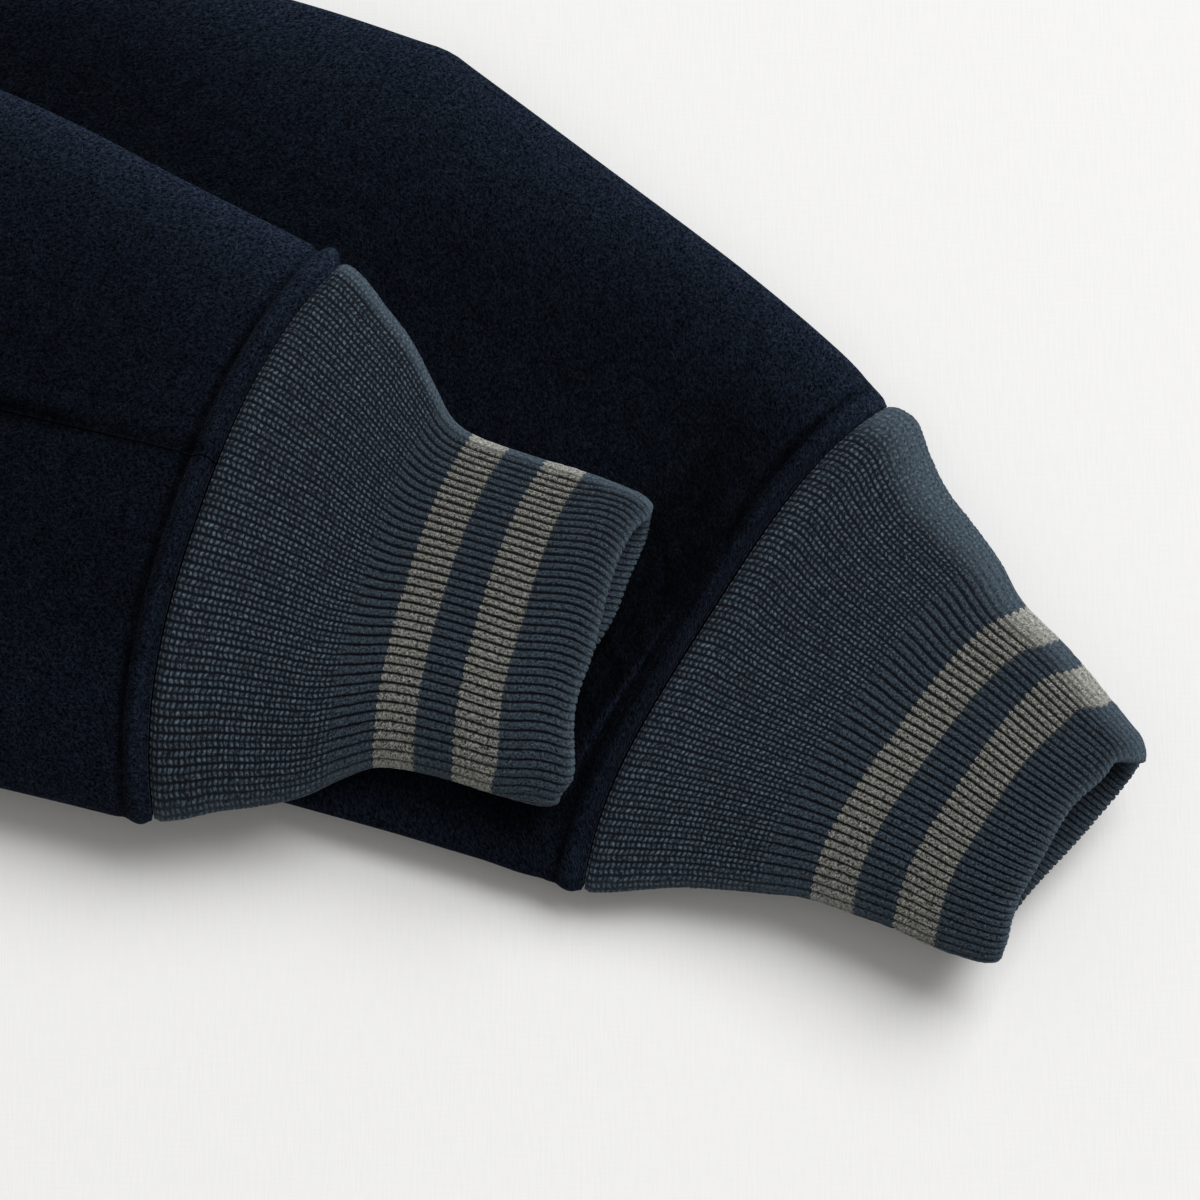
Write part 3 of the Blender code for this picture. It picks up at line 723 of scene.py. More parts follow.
SECTION = (
    "outer_along", "outer_out", "inner_along", "inner_out", "lift", "loft", "bow", "slant"
)
# Its last two entries paint light: a darker offset over the whole sleeve, and the strength of the
# painted shade behind its rim.
LEFT_FRAME = {
    "x": 342.6, "y": -161.0, "turn": -44.0, "arc": 3.5, "flush": 1.0, "flush_from": 0.55,
    "nap_and_light": -0.06, "shade_behind_rim": 0.2,
}
LEFT_SLEEVE = (
    (-600, -33, -430, -185, 0, 11, 0, 0),
    (-520, -10.5, -375, -169.6, 0, 17, 0, 0),
    (-415, 19, -305, -150, 0, 20, 0, 0),
    (-310, 48.4, -238, -131.5, 0, 21, 0, 0),
    (-230, 72.5, -188, -118, 0, 22, 0, 0),
    (-180, 87, -155, -110.4, 0, 22, 0, 0),
    (-151, 93.8, -132, -105, 0, 21.7, 0.3, 0),
    (-142, 95.6, -125, -103.4, 0, 21.5, 0.5, 0),
    (-133, 94.9, -118, -101.4, 0, 21.3, 0.8, 0),
    (-98, 91.4, -90, -93.6, 0, 20.5, 2, 0),
    (-48, 86.2, -46, -80.6, 0, 19, 5.2, 0),
    (-18, 81, -17, -72.8, 0, 18.2, 7.8, 0),
    (0.3, 76, -0.1, -69, 0, 17.5, 9.2, 0),
)
LEFT_CREASES = (
    (255, 0, 20, 90, 16, 1.6),
    (-30, 178, -30, 160, 14, 2),
    (20, 120, -52, 120, 10, 1.4),
    (-62, 120, -48, 90, 10, -1.3),
    (90, 96, -18, 110, 12, 1.2),
    (150, 58, 34, 60, 9, 1.1),
    (205, -36, -62, 60, 9, -0.9),
    (317.2, -163.2, 45, 52, 0.9, 0.5),
)
# Patches of painted light (above 0) and painted shade (below 0) on the top of the left sleeve, in the
# columns of a crease table. The last is a painted highlight on the crease behind the rim.
LEFT_PAINTED_LIGHT = (
    (292, -4, -40, 130, 24, 0.2),
    (374, -99, -38, 60, 10, 0.06),
    (330, -76, -46, 130, 18, -0.07),
    (205, 25, -25, 120, 26, -0.1),
    (334, -136, 52, 100, 11, -0.16),
    (317.2, -163.2, 45, 52, 0.9, 0.6),
)
FLUSH_INSIDE = 0.7
UNDER_SLEEVE_WIDTH = 86.0
INNER_SEAM_UNDER = 0.3
FULL_LOFT = 17.0
EDGE_POWER = 3.0
FLAT_UNDERSIDE = 1.12
RIM_MIDDLE = 2.9
RIM = (1.7, 2.7)
RIM_STITCH = 6.5
RIM_STITCHING = (1.3, 1.4)
PUCKER = 0.3
BACK_SEAM_STITCH = 7.6
BACK_SEAM_STITCHING = (0.5, 1.0)
BACK_SEAM_LEDGE = 0.45
CUFF_SEAM = (1.9, 1.3)
BACK_SEAM = (1.8, 2.2)
INNER_SEAM = (1.0, 1.2)
# Painted light on the sleeves: sheen along the edges, a highlight on the rim, and shade in the
# stitching, at the back seam and behind the rim, no darker than the last.
EDGE_SHEEN_REACH = 11.5
RIM_HIGHLIGHT_MIDDLE = 2.2
RIM_HIGHLIGHT = (0.27, 2.0)
STITCHING_SHADE = (0.4, 1.25)
BACK_SEAM_SHADE = (0.3, 2.8)
SHADE_BEHIND_RIM_MIDDLE = 17.0
SHADE_BEHIND_RIM_BREADTH = 15.0
DARKEST_PAINTED_SHADE = -0.25


def smoothed(table, steps):
    """The rows of a table at these fractional row numbers, on a curve through each column."""
    rows = np.array(table)
    ends = np.concatenate([2 * rows[:1] - rows[1:2], rows, 2 * rows[-1:] - rows[-2:-1]])
    k = np.clip(steps.astype(int), 0, len(rows) - 2)
    f = (steps - k)[:, None]
    a, b, c, d = (ends[k + n] for n in range(4))
    bend = 2 * a - 5 * b + 4 * c - d + f * (3 * (b - c) + d - a)
    return b + 0.5 * f * (c - a + f * bend)


def in_plan(frame_of, place):
    """The x and y of a place given as (along, out) in the frame of a sleeve."""
    turn = math.radians(frame_of["turn"])
    along, out = place[..., 0], place[..., 1]
    x = frame_of["x"] + along * math.cos(turn) - out * math.sin(turn)
    y = frame_of["y"] + along * math.sin(turn) + out * math.cos(turn)
    return np.stack([x, y], axis=-1)


def width_of(sections):
    """How wide the flattened sleeve is at each section."""
    return np.linalg.norm(sections[:, 0:2] - sections[:, 2:4], axis=1)[:, None]


def to_edges(sections, around):
    """How far across the flattened sleeve a place is from its outer and from its inner edge."""
    to_outer_edge = width_of(sections) / 2 * (1 - np.cos(around))
    return to_outer_edge, width_of(sections) - to_outer_edge


def tube(frame_of, sections, around, depth=0.0, beneath=None, folds=(), edge_power=EDGE_POWER):
    """A face of a flattened tube of cloth, at these angles round each section.

    An angle is 0 at the outer edge of the arm and half a turn at the inner edge, on top between
    them. depth is how far in from the outside the face lies, and beneath gives the height of what
    lies under a place.
    """
    column = {name: sections[:, k, None] for k, name in enumerate(SECTION)}
    outer_end, inner_end = sections[:, None, 0:2], sections[:, None, 2:4]
    loft = column["loft"]
    across, over = np.cos(around), np.sin(around)
    power = np.where(over > 0, edge_power, EDGE_POWER) * (FULL_LOFT / loft) ** 2
    rounded = np.sqrt(np.clip(1 - np.abs(across) ** power, 0, 1))
    reach = (across * (1 - 2 * depth / width_of(sections)))[..., None]
    local = (outer_end + inner_end) / 2 + reach * (outer_end - inner_end) / 2
    local[..., 0] -= column["bow"] * (1 - np.abs(across) ** frame_of["arc"])
    beyond_crest = smooth((0.64 - over) / 0.32) * (1 - 0.4 * np.abs(across) ** 10)
    local[..., 0] += column["slant"] * beyond_crest * smooth((1 + across) / 1.7)
    place = in_plan(frame_of, local)
    up = np.where(over >= 0, rounded, -np.minimum(1.0, FLAT_UNDERSIDE * rounded))
    z = column["lift"] + loft / 2 + (loft / 2 - depth) * up
    z += creases(place[..., 0], place[..., 1], folds) * np.clip(over, 0, 1) * rounded
    if beneath:
        z += beneath(place)
    return np.concatenate([place, z[..., None]], axis=-1)


def armhole_section(frame_of, half, lift):
    """The section with which a sleeve starts, just clear of the armhole of the folded body."""
    high, low = (level_of(layer, MELTON) for layer in half)
    shoulder, underarm = (
        np.array([FOLD_X + from_fold(half[0], width), y])
        for width, y in ((HALF_SHOULDER, SHOULDER_Y), (HALF_BACK, UNDERARM_Y))
    )
    down = unit(underarm - shoulder)
    clear = SEAM_GAP * np.array([-down[1], down[0]])
    ends = (seen_from(frame_of, *(place + clear)) for place in (shoulder, underarm))
    return (*next(ends), *next(ends), lift, high - low + MELTON, 0.0, 0.0)


def sections_from_cuff(table, marks):
    """The sections of a sleeve at these distances up its middle from its cuff end."""
    steps = np.linspace(0, len(table) - 1, 500)
    fine = smoothed(table, steps)
    gone = gone_along((fine[:, 0:2] + fine[:, 2:4]) / 2)
    to_cuff = gone[-1] - gone
    places = marks(to_cuff[0])
    return smoothed(table, np.interp(places, to_cuff[::-1], steps[::-1]))


def gone_round(frame_of, row, start, end, edge_power=EDGE_POWER):
    """How far the cloth round a section has gone at each of these angles, from start to end."""
    fine = np.linspace(start, end, 900)
    return fine, gone_along(tube(frame_of, row[None], fine[None], edge_power=edge_power)[0])


NEAR_RIM = np.array(
    [0, 0.4, 0.8, 1.3, 1.9, 2.6, 3.4, 4.2, 5, 5.7, 6.4, 7, 7.6, 8.2, 8.9, 9.8, 11, 12.5, 14.5, 17, 20]
)
NEAR_STITCHED_SEAM = np.array([0, 0.5, 1, 1.7, 2.6, 4, 5.4, 6.3, 7, 7.6, 8.2, 8.9, 9.8, 11, 13.0])


def sleeve_rows(length):
    fore = np.arange(22.5, 200.0, 2.6)
    upper = np.linspace(205.0, length - NEAR_A_SEAM[-1], 46)[:-1]
    return np.concatenate([NEAR_RIM, fore, upper, length - NEAR_A_SEAM[::-1]])


ROUND_AN_EDGE = np.array([-7.0, -4.6, -3.0, -1.7, -0.7, 0.0, 0.7, 1.7, 3.0, 4.6, 7.0])


def columns_across(near_back_seam, runs, length, outer_edge, inner_edge):
    """Places across a panel, close together at its seams and where it turns under the arm.

    runs holds how many there are between one such place and the next.
    """
    last = 1.0 if inner_edge is None else min(1.0, (length - inner_edge) / (NEAR_A_SEAM[-1] + 1.0))
    stops = [near_back_seam, length - last * NEAR_A_SEAM[::-1]]
    if inner_edge is not None:
        stops.insert(1, inner_edge + ROUND_AN_EDGE[ROUND_AN_EDGE <= 0])
    if outer_edge is not None:
        stops.insert(1, outer_edge + ROUND_AN_EDGE)
    filled = [near_back_seam]
    for before, after, count in zip(stops, stops[1:], runs):
        filled += [np.linspace(before[-1], after[0], count)[1:-1], after]
    return np.concatenate(filled)


def angles_across(frame_of, sections, start, end, near_back_seam, runs):
    """The angles of those places on each section of a panel."""
    found = []
    for row, first, last in zip(sections, start, end):
        fine, gone = gone_round(frame_of, row, first, last)
        way = 1 if last > first else -1
        edges = [
            float(np.interp(way * angle, way * fine, gone)) if inside else None
            for angle, inside in ((0.0, first * last < 0), (math.pi * way, abs(last) > math.pi))
        ]
        found.append(np.interp(columns_across(near_back_seam, runs, gone[-1], *edges), gone, fine))
    return np.array(found)


def rim_relief(to_cuff, across, flush):
    """The turned-in end of a sleeve: its raised rim, its sunk stitching and the puckers behind it."""
    uneven = 1 + 0.14 * np.sin(across / 9.0) * np.sin(across / 23.0 + 1.0)
    rim = hump(to_cuff - RIM_MIDDLE, *RIM) + dip(to_cuff - RIM_STITCH, *RIM_STITCHING)
    rim = rim * (1 - flush) + dip(to_cuff, *CUFF_SEAM) * (1 - 0.6 * flush)
    wave = np.sin(across / 2.9 + 1.7 * np.sin(across / 17.0)) + 0.6 * np.sin(across / 5.3 + 2.0)
    behind = smooth((to_cuff - 7.0) / 4.0) * np.exp(-np.maximum(to_cuff - 9.0, 0) / 14.0)
    return rim * uneven + PUCKER * wave * behind


def sleeve_panel(name, frame_of, sections, span, stitched, beneath, folds, painted_light):
    """One panel of a sleeve, from its back seam to its inner seam, with the rim at its end."""
    under = "under" in name
    near_back_seam = NEAR_STITCHED_SEAM if stitched else NEAR_A_SEAM
    runs = (32, 2) if under else (20, 56, 2)
    around = angles_across(frame_of, sections, *span, near_back_seam, runs)
    outer, inner = (
        tube(frame_of, sections, around, depth, beneath, folds) for depth in (0.0, MELTON)
    )
    to_cuff, to_armhole, to_back_seam, to_inner_seam = from_borders(outer)
    flush = frame_of["flush"] * smooth((np.cos(around) - frame_of["flush_from"]) / 0.35)
    flush = flush + FLUSH_INSIDE * smooth((-np.cos(around) - 0.75) / 0.25)
    relief = rim_relief(to_cuff, to_back_seam * (1 if under else -1), flush)
    fading = 0.4 + 0.6 * smooth((to_cuff - 8.0) / 60.0)
    relief += dip(to_armhole) + fading * dip(to_back_seam, *BACK_SEAM)
    relief += dip(to_inner_seam, *INNER_SEAM)
    if stitched:
        clear_of_rim = smooth((to_cuff - 7.0) / 6.0)
        ledge = BACK_SEAM_LEDGE * smooth((BACK_SEAM_STITCH + 1.0 - to_back_seam) / 2.0)
        stitching = dip(to_back_seam - BACK_SEAM_STITCH, *BACK_SEAM_STITCHING)
        relief += clear_of_rim * (ledge + stitching)
    outer = raised(outer, inner, relief)
    to_outer_edge, to_inner_edge = to_edges(sections, around)
    # Painted sheen: the cloth is lighter near the outer edge of the arm and, half as much, near its
    # inner edge.
    nap_and_light = np.exp(-to_outer_edge / EDGE_SHEEN_REACH) + 0.5 * np.exp(-to_inner_edge / EDGE_SHEEN_REACH)
    # A painted offset per sleeve, darker on the left one, and a painted highlight along the rim.
    nap_and_light += frame_of["nap_and_light"] + hump(to_cuff - RIM_HIGHLIGHT_MIDDLE, *RIM_HIGHLIGHT)
    # Painted shade in the sunk stitching behind the rim and along the back seam.
    nap_and_light += dip(to_cuff - RIM_STITCH, *STITCHING_SHADE) + fading * dip(to_back_seam, *BACK_SEAM_SHADE)
    # Painted shade in a band behind the rim, on the inner half of the arm.
    shade_behind_rim = dip(to_cuff - SHADE_BEHIND_RIM_MIDDLE, frame_of["shade_behind_rim"], SHADE_BEHIND_RIM_BREADTH)
    nap_and_light += shade_behind_rim * smooth((0.45 - np.cos(around)) / 0.5)
    # Painted patches of light and shade on the top of the arm.
    nap_and_light += creases(outer[..., 0], outer[..., 1], painted_light) * np.clip(2 * np.sin(around), 0, 1)
    # The painted shade goes no darker than this.
    nap_and_light = np.maximum(nap_and_light, DARKEST_PAINTED_SHADE)
    return add_cloth(
        f"{name}_panel", *both_faces(outer, inner), melton, "melton", name,
        nap_and_painted_light=over_and_back(nap_and_light, nap_and_light),
    )


def sleeve(side, frame_of, table, seam_on_top, beneath=None, folds=(), painted_light=()):
    """The upper and the under panel of a sleeve, with the back seam between them on top or beneath."""
    sections = sections_from_cuff(table, sleeve_rows)
    width = width_of(sections)[:, 0]
    seam = np.arccos(1 - 2 * (width - UNDER_SLEEVE_WIDTH) / width)
    gap = SEAM_GAP / width
    inner_from_top = math.pi + INNER_SEAM_UNDER - gap
    inner_from_beneath = INNER_SEAM_UNDER - math.pi + gap
    if seam_on_top:
        under, upper = (seam + gap, inner_from_top), (seam - gap, inner_from_beneath)
    else:
        under, upper = (-seam - gap, inner_from_beneath), (gap - seam, inner_from_top)
    return [
        sleeve_panel(
            f"{side}_{part}_sleeve", frame_of, sections, span, stitched, beneath, folds, painted_light
        )
        for part, span, stitched in (("upper", upper, True), ("under", under, False))
    ]


left_sections = (armhole_section(LEFT_FRAME, LEFT_HALF, 0.0), *LEFT_SLEEVE)
upper, under = sleeve(
    "left", LEFT_FRAME, left_sections, False, folds=LEFT_CREASES, painted_light=LEFT_PAINTED_LIGHT
)


# ---- The left cuff ----
# A doubled tube of rib knit in slate wool, knitted to shape, wide at its seam and close at the
# wrist, with two stripes of undyed grey wool. Its underside reaches out past its top there.

LEFT_CUFF = (
    (0.8, 76.4, 0.4, -68.6, 0.6, 16.4, 9.2, 0),
    (8.5, 75.8, 6.3, -65, 1.1, 16.4, 9.3, 0),
    (15.5, 70.2, 12.3, -60.6, 1.8, 16.6, 8.9, 0),
    (24, 64.2, 19.8, -55.4, 2.7, 16.8, 8.4, 0),
    (34.8, 59.4, 28.7, -50.6, 3.8, 17.2, 7.8, 0.2),
    (44.7, 54.6, 38.2, -46, 5, 17.4, 7.4, 0.5),
    (54, 48.6, 47, -42, 6.1, 17.8, 7, 1),
    (65.5, 45.2, 58.5, -39.4, 7.2, 18.2, 7.7, 2),
    (72.5, 42.6, 68.3, -37.4, 7.9, 18.4, 6.4, 3),
    (82.5, 38.2, 79.7, -36, 8.7, 18.6, 6.4, 4.8),
    (93, 33.4, 94.2, -32.6, 9.4, 18.4, 3.8, 8.2),
)
RIBS_ROUND = 85
FIBRE_RELIEF = 0.06
FIBRE_SEED = 85
COLUMNS_A_CUFF_RIB = 8
OPEN_PART, OPEN_STEP = 48.0, 0.5
CUFF_EDGE_POWER = 2.0
KNIT_MARKS = (0.0, 42.0, 60.0, 80.0)
LEFT_KNIT = (0.0, 44.5, 62.8, 83.2)
LEFT_CUFF_CREASES = (
    (420, -193, -48.5, 58, 2.8, 2.1),
    (411, -213, 40, 34, 2.6, -0.8),
    (383, -160, -62, 50, 9, 0.4),
)
MOUTH = ("place", "breadth", "above", "below")
LEFT_MOUTH = ((0.66, 0.28, 2.8, 0), (-0.85, 0.2, 0.9, 0), (-0.2, 0.3, 0.5, 0))
# How far in from the outer edge raised fibres and painted sheen reach on the left cuff, at its wide end
# and at the wrist.
LEFT_FUZZ_AND_SHEEN = (12.0, 6.0)
RIB_CLOSES = (39.5, 44.5)
STRIPES = (60.0, 80.0)
STRIPE_REACH = 5.2


def rib_angles(frame_of, sections, power, twists, crowded):
    """The angles of the columns of a cuff's knit on each section, spread along the cloth."""
    columns = RIBS_ROUND * COLUMNS_A_CUFF_RIB
    share = np.arange(columns) / columns
    share -= crowded * np.sin(2 * math.pi * share) / (2 * math.pi)
    around = []
    for row, sharp, turned_by in zip(sections, power, twists):
        fine, gone = gone_round(frame_of, row, 0.0, 2 * math.pi, sharp)
        place = gone[-1] * (share + turned_by)
        fine, gone = (np.concatenate([part, part[1:] + part[-1]]) for part in (fine, gone))
        around.append(np.interp(place, gone, fine))
    return np.array(around)


def cuff(side, frame_of, table, stretched, folds, mouth, fuzz_and_sheen_reach, twist, crowded, beneath=None):
    """A cuff through the sections of its table, with the same knit on both faces of the doubling.

    stretched gives how far from the seam the marks of the knit lie on this cuff. Its mouth reaches
    in or out at places across it, each with a breadth and the amounts above and below.
    fuzz_and_sheen_reach is how far in from the outer edge its fibres are raised and painted with
    sheen, at its wide end and at the wrist. Its ribs turn by a twist, as a share of the way round,
    before the mouth, and a third back at it, and lie crowded together at the outer edge.
    """
    steps = np.linspace(0, len(table) - 1, 300)
    lines = tube(frame_of, smoothed(table, steps), np.linspace(0, 2 * math.pi, 60)[None, :])
    gone = gone_along(lines).mean(axis=1)
    length = gone[-1]
    out = np.arange(0, OPEN_PART, OPEN_STEP)
    out = np.concatenate([out, np.linspace(OPEN_PART, length - BEND_OUTSIDE, 26)])
    back = np.concatenate([np.linspace(length - 4.0, length - 16.0, 6), [70.0, 45.0, 20.0, 0.0]])
    along, depth, turn = doubled(out, back, length)
    sections = smoothed(table, np.interp(along, gone, steps))
    power = np.interp(along, (0.0, 22.0), (EDGE_POWER, CUFF_EDGE_POWER))
    to_mouth = along - length
    twists = twist * (smooth((to_mouth + 21.0) / 14.0) - 0.35 * smooth((to_mouth + 6.0) / 6.0))
    around = rib_angles(frame_of, sections, power, twists, crowded)
    ring, outer, inner = (
        tube(frame_of, sections, around, d, beneath, folds, power[:, None])
        for d in (depth[:, None], 0.0, RIB)
    )
    outwards = unit(outer - inner)
    way = math.radians(frame_of["turn"])
    forwards = np.array([math.cos(way), math.sin(way), 0.0])
    over, bend = np.cos(turn)[:, None], np.sin(turn)[:, None]
    on_top = 0.5 + 0.5 * np.clip(2 * np.sin(around), -1, 1)
    uneven = 0.0
    for row in mouth:
        bulge = dict(zip(MOUTH, row))
        amount = bulge["above"] * on_top + bulge["below"] * (1 - on_top)
        uneven = uneven + hump(np.cos(around) - bulge["place"], amount, bulge["breadth"])
    uneven *= smooth((to_mouth + 30.0) / 26.0)[:, None]
    # Raised fibres and painted sheen: the knit is lighter and its relief flatter along both edges of
    # the arm and round the bend, with a painted highlight on top of the bend, and lighter just inside
    # the mouth.
    to_outer_edge, to_inner_edge = to_edges(sections, around)
    reach = np.interp(along, (20.0, 65.0), fuzz_and_sheen_reach)[:, None]
    nap_and_light = 0.55 * smooth(1.25 - to_outer_edge / reach) + 0.3 * np.exp(-to_inner_edge / 2.0)
    nap_and_light += 0.2 * bend**2 + 0.5 * on_top * bend**8
    nap_and_light += 0.18 * (np.exp(to_mouth / 6.0) * (turn > math.pi / 2))[:, None]
    nap_and_light = np.minimum(nap_and_light, 0.75)
    knit = along + (turn > math.pi / 2) * 2 * (length - along)
    past_marks = np.maximum(knit - stretched[-1], 0.0)
    knit = np.interp(knit, stretched, KNIT_MARKS) + past_marks
    courses = knit[:, None] / COURSE
    ribs = np.arange(RIBS_ROUND * COLUMNS_A_CUFF_RIB + 1)[None, :] / COLUMNS_A_CUFF_RIB
    closed = smooth((knit - RIB_CLOSES[0]) / (RIB_CLOSES[1] - RIB_CLOSES[0]))[:, None]
    relief = rib_relief(ribs[:, :-1], courses, closed) * (1 - 0.5 * nap_and_light)
    relief += dip(along[:, None], *RIB_SEAM)
    relief += FIBRE_RELIEF * np.random.default_rng(FIBRE_SEED).normal(size=relief.shape)
    ring += outwards * (over * relief)[..., None] + forwards * (bend * relief + uneven)[..., None]
    cut = np.stack(np.broadcast_arrays(ribs, courses), axis=-1)
    made = add_cloth(
        f"{side}_cuff_knit", ring, cut, striped_rib, "rib_knit", f"{side}_cuff", all_round=True,
        nap_and_painted_light=nap_and_light,
    )


striped_rib = worsted_rib_knit(
    "worsted_rib_knit_striped",
    opens=tuple(place / COURSE for place in RIB_CLOSES),
    stripes=[(middle / COURSE, STRIPE_REACH / COURSE) for middle in STRIPES],
)
cuff(
    "left", LEFT_FRAME, LEFT_CUFF, LEFT_KNIT, LEFT_CUFF_CREASES, LEFT_MOUTH, LEFT_FUZZ_AND_SHEEN, 0.0, 0.0
)


# ---- The right sleeve ----
# The same sleeve of the other side. It lies on the left one and hangs over its edges to the table,
# turned so that its back seam is on top.

# Its last two entries, the painted offset and the painted shade behind the rim, are 0 on this sleeve.
RIGHT_FRAME = {
    "x": 233.5, "y": -113.6, "turn": -30.2, "arc": 2.5, "flush": 0.15, "flush_from": 0.75,
    "nap_and_light": 0.0, "shade_behind_rim": 0.0,
}
RIGHT_SLEEVE = (
    (-535, 98, -405, -96.5, 2, 12, 0, 0),
    (-470, 102, -372, -99, 1, 18, 0, 0),
    (-385, 104, -325, -99, 0.2, 21, 0, 0),
    (-290, 102, -262, -95, 0, 21, 0, 0),
    (-200, 98, -190, -89, 0, 20, 0, 0),
    (-96, 89.4, -92, -78.5, 0, 20, 2.5, 0),
    (-45, 81.2, -45, -74, 0, 18.6, 7, 0),
    (-1.5, 74.6, -1.5, -70.6, 0, 17, 11.5, 0),
)
RIGHT_CREASES = (
    (-110, 90, 48, 150, 15, 4.2),
    (-62, 52, 62, 130, 13, 3.4),
    (-160, 132, 36, 120, 17, 3),
    (-20, 60, 74, 110, 11, 1.8),
    (32, 0, -38, 120, 11, 1.2),
    (88, 16, 68, 80, 10, -1),
)
# Patches of painted light (above 0) and painted shade (below 0) on the top of the right sleeve, in the
# same columns.
RIGHT_PAINTED_LIGHT = (
    (245, -59, 62, 90, 20, 0.1),
    (195, -54, -30, 110, 22, -0.08),
    (186, -105, -30, 90, 18, -0.06),
    (187, -143, -32, 100, 12, 0.07),
)
DRAPE_RADIUS = 25.0
DRAPE_STEP = 3.0
RESTING_GAP = 1.0
CHEST_MARGIN, CHEST_STEP = 60.0, 4.0


def draped_over(points):
    """The height of cloth that rests on these points and falls away round them, from a fine grid."""
    reach = math.sqrt(2 * DRAPE_RADIUS * points[:, 2].max())
    low, high = points[:, :2].min(axis=0) - reach, points[:, :2].max(axis=0) + reach
    xs, ys = (np.arange(a, b + DRAPE_STEP, DRAPE_STEP) for a, b in zip(low, high))
    field = np.zeros((len(xs), len(ys)))
    for i, x in enumerate(xs):
        near = points[np.abs(points[:, 0] - x) < reach]
        if len(near):
            apart = (near[:, 0, None] - x) ** 2 + (near[:, 1, None] - ys[None, :]) ** 2
            field[i] = (near[:, 2, None] - apart / (2 * DRAPE_RADIUS)).max(axis=0)
    field = np.maximum(field, 0.0) + RESTING_GAP

    def height(place):
        at = np.clip((place - low) / DRAPE_STEP, 0, np.array(field.shape) - 1.001)
        i, j = at.astype(int)[..., 0], at.astype(int)[..., 1]
        f, g = (at - at.astype(int))[..., 0], (at - at.astype(int))[..., 1]
        before = field[i, j] * (1 - g) + field[i, j + 1] * g
        after = field[i + 1, j] * (1 - g) + field[i + 1, j + 1] * g
        return before * (1 - f) + after * f

    return height


over_the_top = np.linspace(0, math.pi, 90)[None, :]
lies_under = []
for table, count, folds in ((left_sections, 260, LEFT_CREASES), (LEFT_CUFF, 60, ())):
    sections = smoothed(table, np.linspace(0, len(table) - 1, count))
    lies_under.append(tube(LEFT_FRAME, sections, over_the_top, folds=folds).reshape(-1, 3))
for width in np.arange(HALF_SHOULDER - CHEST_MARGIN, HALF_BACK, CHEST_STEP):
    y = np.arange(UNDERARM_Y - CHEST_MARGIN, top_edge("left_front", width), CHEST_STEP)
    chest = body_line(("left_front", width, None), y, MELTON)[0]
    lies_under.append(chest + [0, 0, MELTON / 2])
resting = draped_over(np.concatenate(lies_under))
hidden_step = level_of("right_front", MELTON) - level_of("left_front", MELTON) - MELTON
right_sections = (
    armhole_section(RIGHT_FRAME, RIGHT_HALF, hidden_step - RESTING_GAP), *RIGHT_SLEEVE
)
upper, under = sleeve(
    "right", RIGHT_FRAME, right_sections, True, resting, RIGHT_CREASES, RIGHT_PAINTED_LIGHT
)


# ---- The right cuff ----
# The same cuff, caught 3 mm deeper in its seam and lying on the left sleeve.

RIGHT_CUFF = (
    (-1, 74.6, -1, -70, 0.7, 15.6, 11.5, 0),
    (5, 72, 5.6, -67.2, 0.6, 15, 10.8, 0),
    (12, 67.2, 13.4, -62.8, 0.4, 14.6, 9.7, 0),
    (21, 60.8, 23, -58.4, 0.3, 14.2, 8, 0),
    (29.5, 52.4, 32, -53.2, 0.3, 14, 6.3, 0),
    (37, 45.2, 40, -46, 0.3, 14, 4.9, 0),
    (44.5, 42.8, 47.5, -41, 0.6, 14.2, 4.4, 0),
    (58, 42.4, 61, -39, 1, 14.6, 4.5, 0),
    (73.5, 42.6, 76.5, -38.8, 1.4, 14.4, 4.8, 0.4),
    (89.8, 42, 92.6, -37.8, 1.6, 11.6, 4.4, 2.8),
)
RIGHT_KNIT = (0.0, 43.5, 58.8, 78.8)
RIGHT_CUFF_CREASES = ((299, -137, 56, 60, 3, -0.7),)
RIGHT_MOUTH = (
    (1, 0.15, -1.4, -1.6),
    (0.65, 0.25, -0.9, 0),
    (0.3, 0.2, 0, 0.6),
    (-0.05, 0.25, 0.8, 0),
    (-0.25, 0.3, 0, -3),
    (-0.33, 0.15, -0.3, 0),
    (-0.8, 0.22, 1.9, -0.4),
    (-1, 0.1, -2.4, -1.6),
)
# How far in from the outer edge raised fibres and painted sheen reach on the right cuff.
RIGHT_FUZZ_AND_SHEEN = (3.5, 2.5)
cuff(
    "right", RIGHT_FRAME, RIGHT_CUFF, RIGHT_KNIT, RIGHT_CUFF_CREASES, RIGHT_MOUTH, RIGHT_FUZZ_AND_SHEEN,
    -0.014, 0.1, resting,
)


# ---- The buttons ----
# Five round buttons of horn-like polyester, turned and polished, on the front that lies hidden in
# the fold. They keep the solids of the frame.


def polished_polyester_horn():
    """Cast polyester made to look like dark horn: cloudy brown-black, with a soft polish."""
    made, add = new_material("polished_polyester_horn")
    place = add("TexCoord").outputs["Object"]
    cloud = add("TexNoise", {"Vector": place, "Scale": 160.0, "Detail": 4.0, "Distortion": 1.2})
    colour = set_ramp(add("ValToRGB", {"Fac": cloud}), (0.35, "#14110f"), (0.7, "#3a2f27"))
    rough = add("MapRange", {"Value": cloud, "To Min": 0.22, "To Max": 0.4})
    shader = add("BsdfPrincipled", {"Base Color": colour, "Roughness": rough, "IOR": 1.55})
    add("OutputMaterial", {"Surface": shader})
    return made


horn = polished_polyester_horn()
for name, node in frame["nodes"].items():
    if name.startswith("button"):
        node.data.materials.clear()
        node.data.materials.append(horn)


# ---- The table, the light and the camera ----
# A pale table top, one large soft light from the upper right and a weak one from all round. Sizes
# here are in metres.

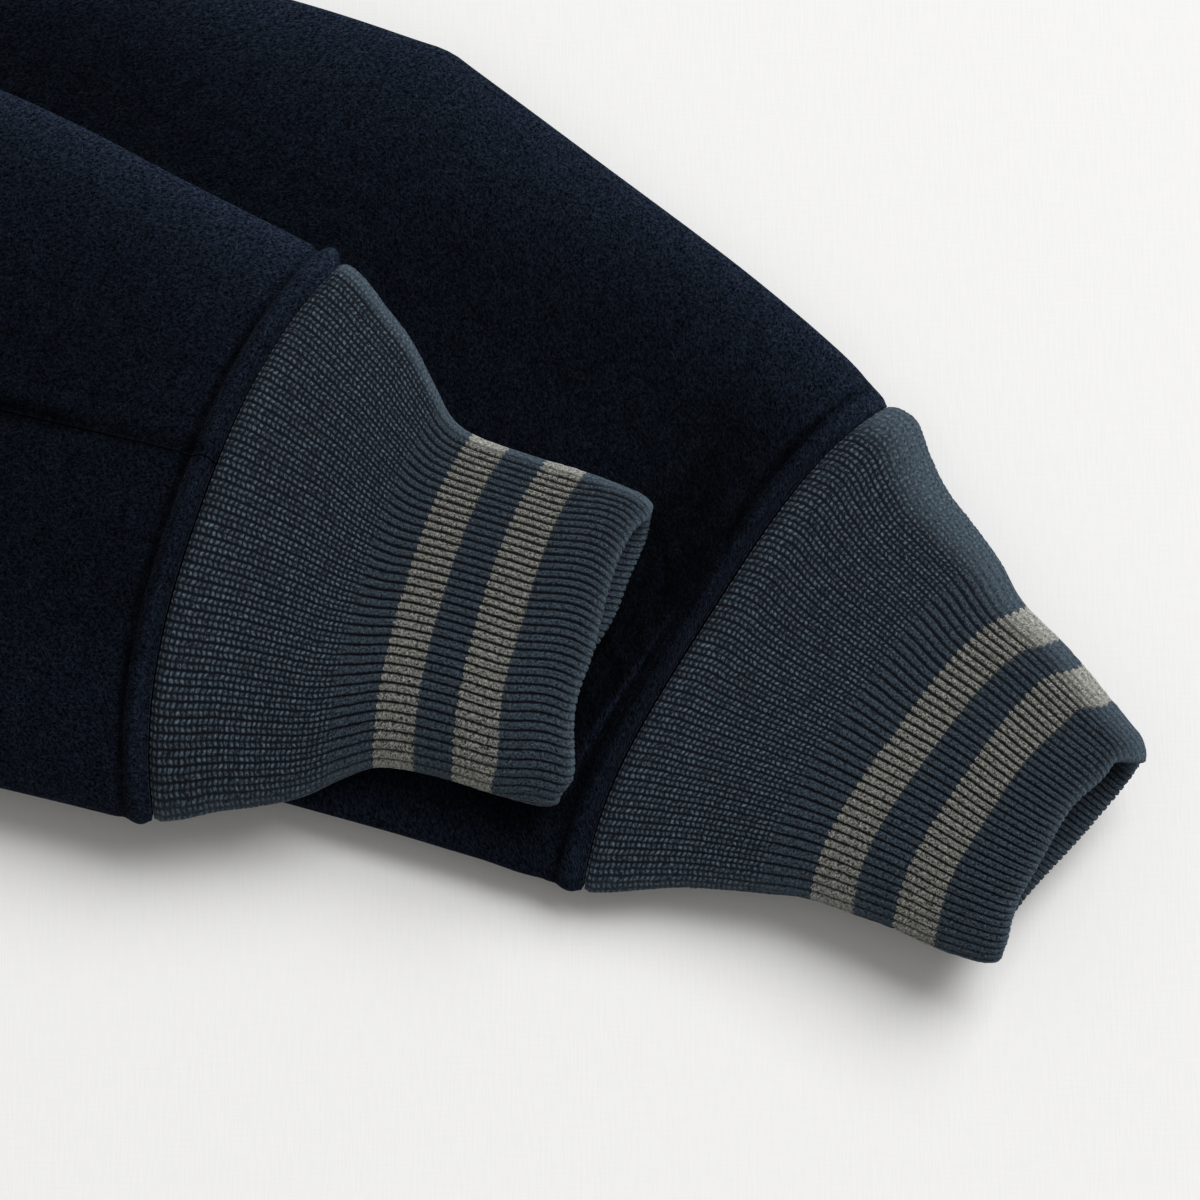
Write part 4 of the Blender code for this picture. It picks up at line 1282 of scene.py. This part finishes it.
TABLE_SIZE = 6.0
TABLE_GAP = SEAM_GAP * MM
VIEW_CENTRE = np.array([0.3136, -0.1454, 0.032])
VIEW_YAW = math.radians(12.0)
VIEW_RISE = math.radians(78.0)
VIEW_DISTANCE = 0.85
VIEW_WIDTH = 0.288
LIGHT_SIZE, LIGHT_DISTANCE, LIGHT_POWER = 5.2, 7.0, 548.0
RIGHT = np.array([math.cos(VIEW_YAW), -math.sin(VIEW_YAW), 0.0])
AWAY = np.array([math.sin(VIEW_YAW), math.cos(VIEW_YAW), 0.0])
UP = np.array([0.0, 0.0, 1.0])
LIGHT_WAY = RIGHT * 0.62 + AWAY * 0.74 + UP
ROOM_LIGHT = 0.34


def painted_canvas():
    """A board with primed canvas on it, painted off-white: matt, with a trace of its 0.7 mm threads."""
    made, add = new_material("painted_canvas")
    place = add("TexCoord").outputs["Object"]
    threads = []
    for turn in (0.0, 90.0):
        lay = add(
            "Mapping",
            {"Vector": place, "Rotation": (0, 0, math.radians(turn) - VIEW_YAW),
             "Scale": (0.7 * MM, 8.0 * MM, 1.0)},
            vector_type="TEXTURE",
        )
        threads.append(
            add("TexNoise", {"Vector": lay, "Scale": 1.0, "Detail": 1.0}, noise_dimensions="2D")
        )
    weave = add("Math", (threads[1], 0.5, threads[0]), operation="MULTIPLY_ADD")
    colour = set_ramp(add("ValToRGB", {"Fac": weave}), (0.5, "#f1f1f1"), (1.0, "#f3f3f4"))
    bump = add("Bump", {"Height": weave, "Strength": 0.22, "Distance": 0.12 * MM})
    shader = add(
        "BsdfPrincipled",
        {"Base Color": colour, "Normal": bump, "Roughness": 0.9, "Specular IOR Level": 0.1},
    )
    add("OutputMaterial", {"Surface": shader})
    return made


bpy.ops.mesh.primitive_plane_add(size=TABLE_SIZE, location=(0, 0, -TABLE_GAP))
table = bpy.context.object
table.name = "table_top"
table.data.materials.append(painted_canvas())


def aim(made, way, distance):
    """Puts a lamp or a camera this way from the middle of the view, looking at it."""
    made.location = VIEW_CENTRE + unit(way) * distance
    made.rotation_euler = Vector(-way).to_track_quat("-Z", "Y").to_euler()
    bpy.context.scene.collection.objects.link(made)


soft_box = bpy.data.lights.new("soft_box", "AREA")
soft_box.size = LIGHT_SIZE
soft_box.energy = LIGHT_POWER
aim(bpy.data.objects.new("soft_box", soft_box), LIGHT_WAY, LIGHT_DISTANCE)
bpy.context.scene.view_settings.view_transform = "Standard"
world = bpy.data.worlds.new("studio")
bpy.context.scene.world = world
world.use_nodes = True
world.node_tree.nodes["Background"].inputs["Color"].default_value = linear("#f9f7f2")
world.node_tree.nodes["Background"].inputs["Strength"].default_value = ROOM_LIGHT

camera = bpy.data.cameras.new("camera")
camera.sensor_width = 36.0
camera.lens = camera.sensor_width * VIEW_DISTANCE / VIEW_WIDTH
viewer = bpy.data.objects.new("camera", camera)
aim(viewer, UP * math.sin(VIEW_RISE) - AWAY * math.cos(VIEW_RISE), VIEW_DISTANCE)
bpy.context.scene.camera = viewer
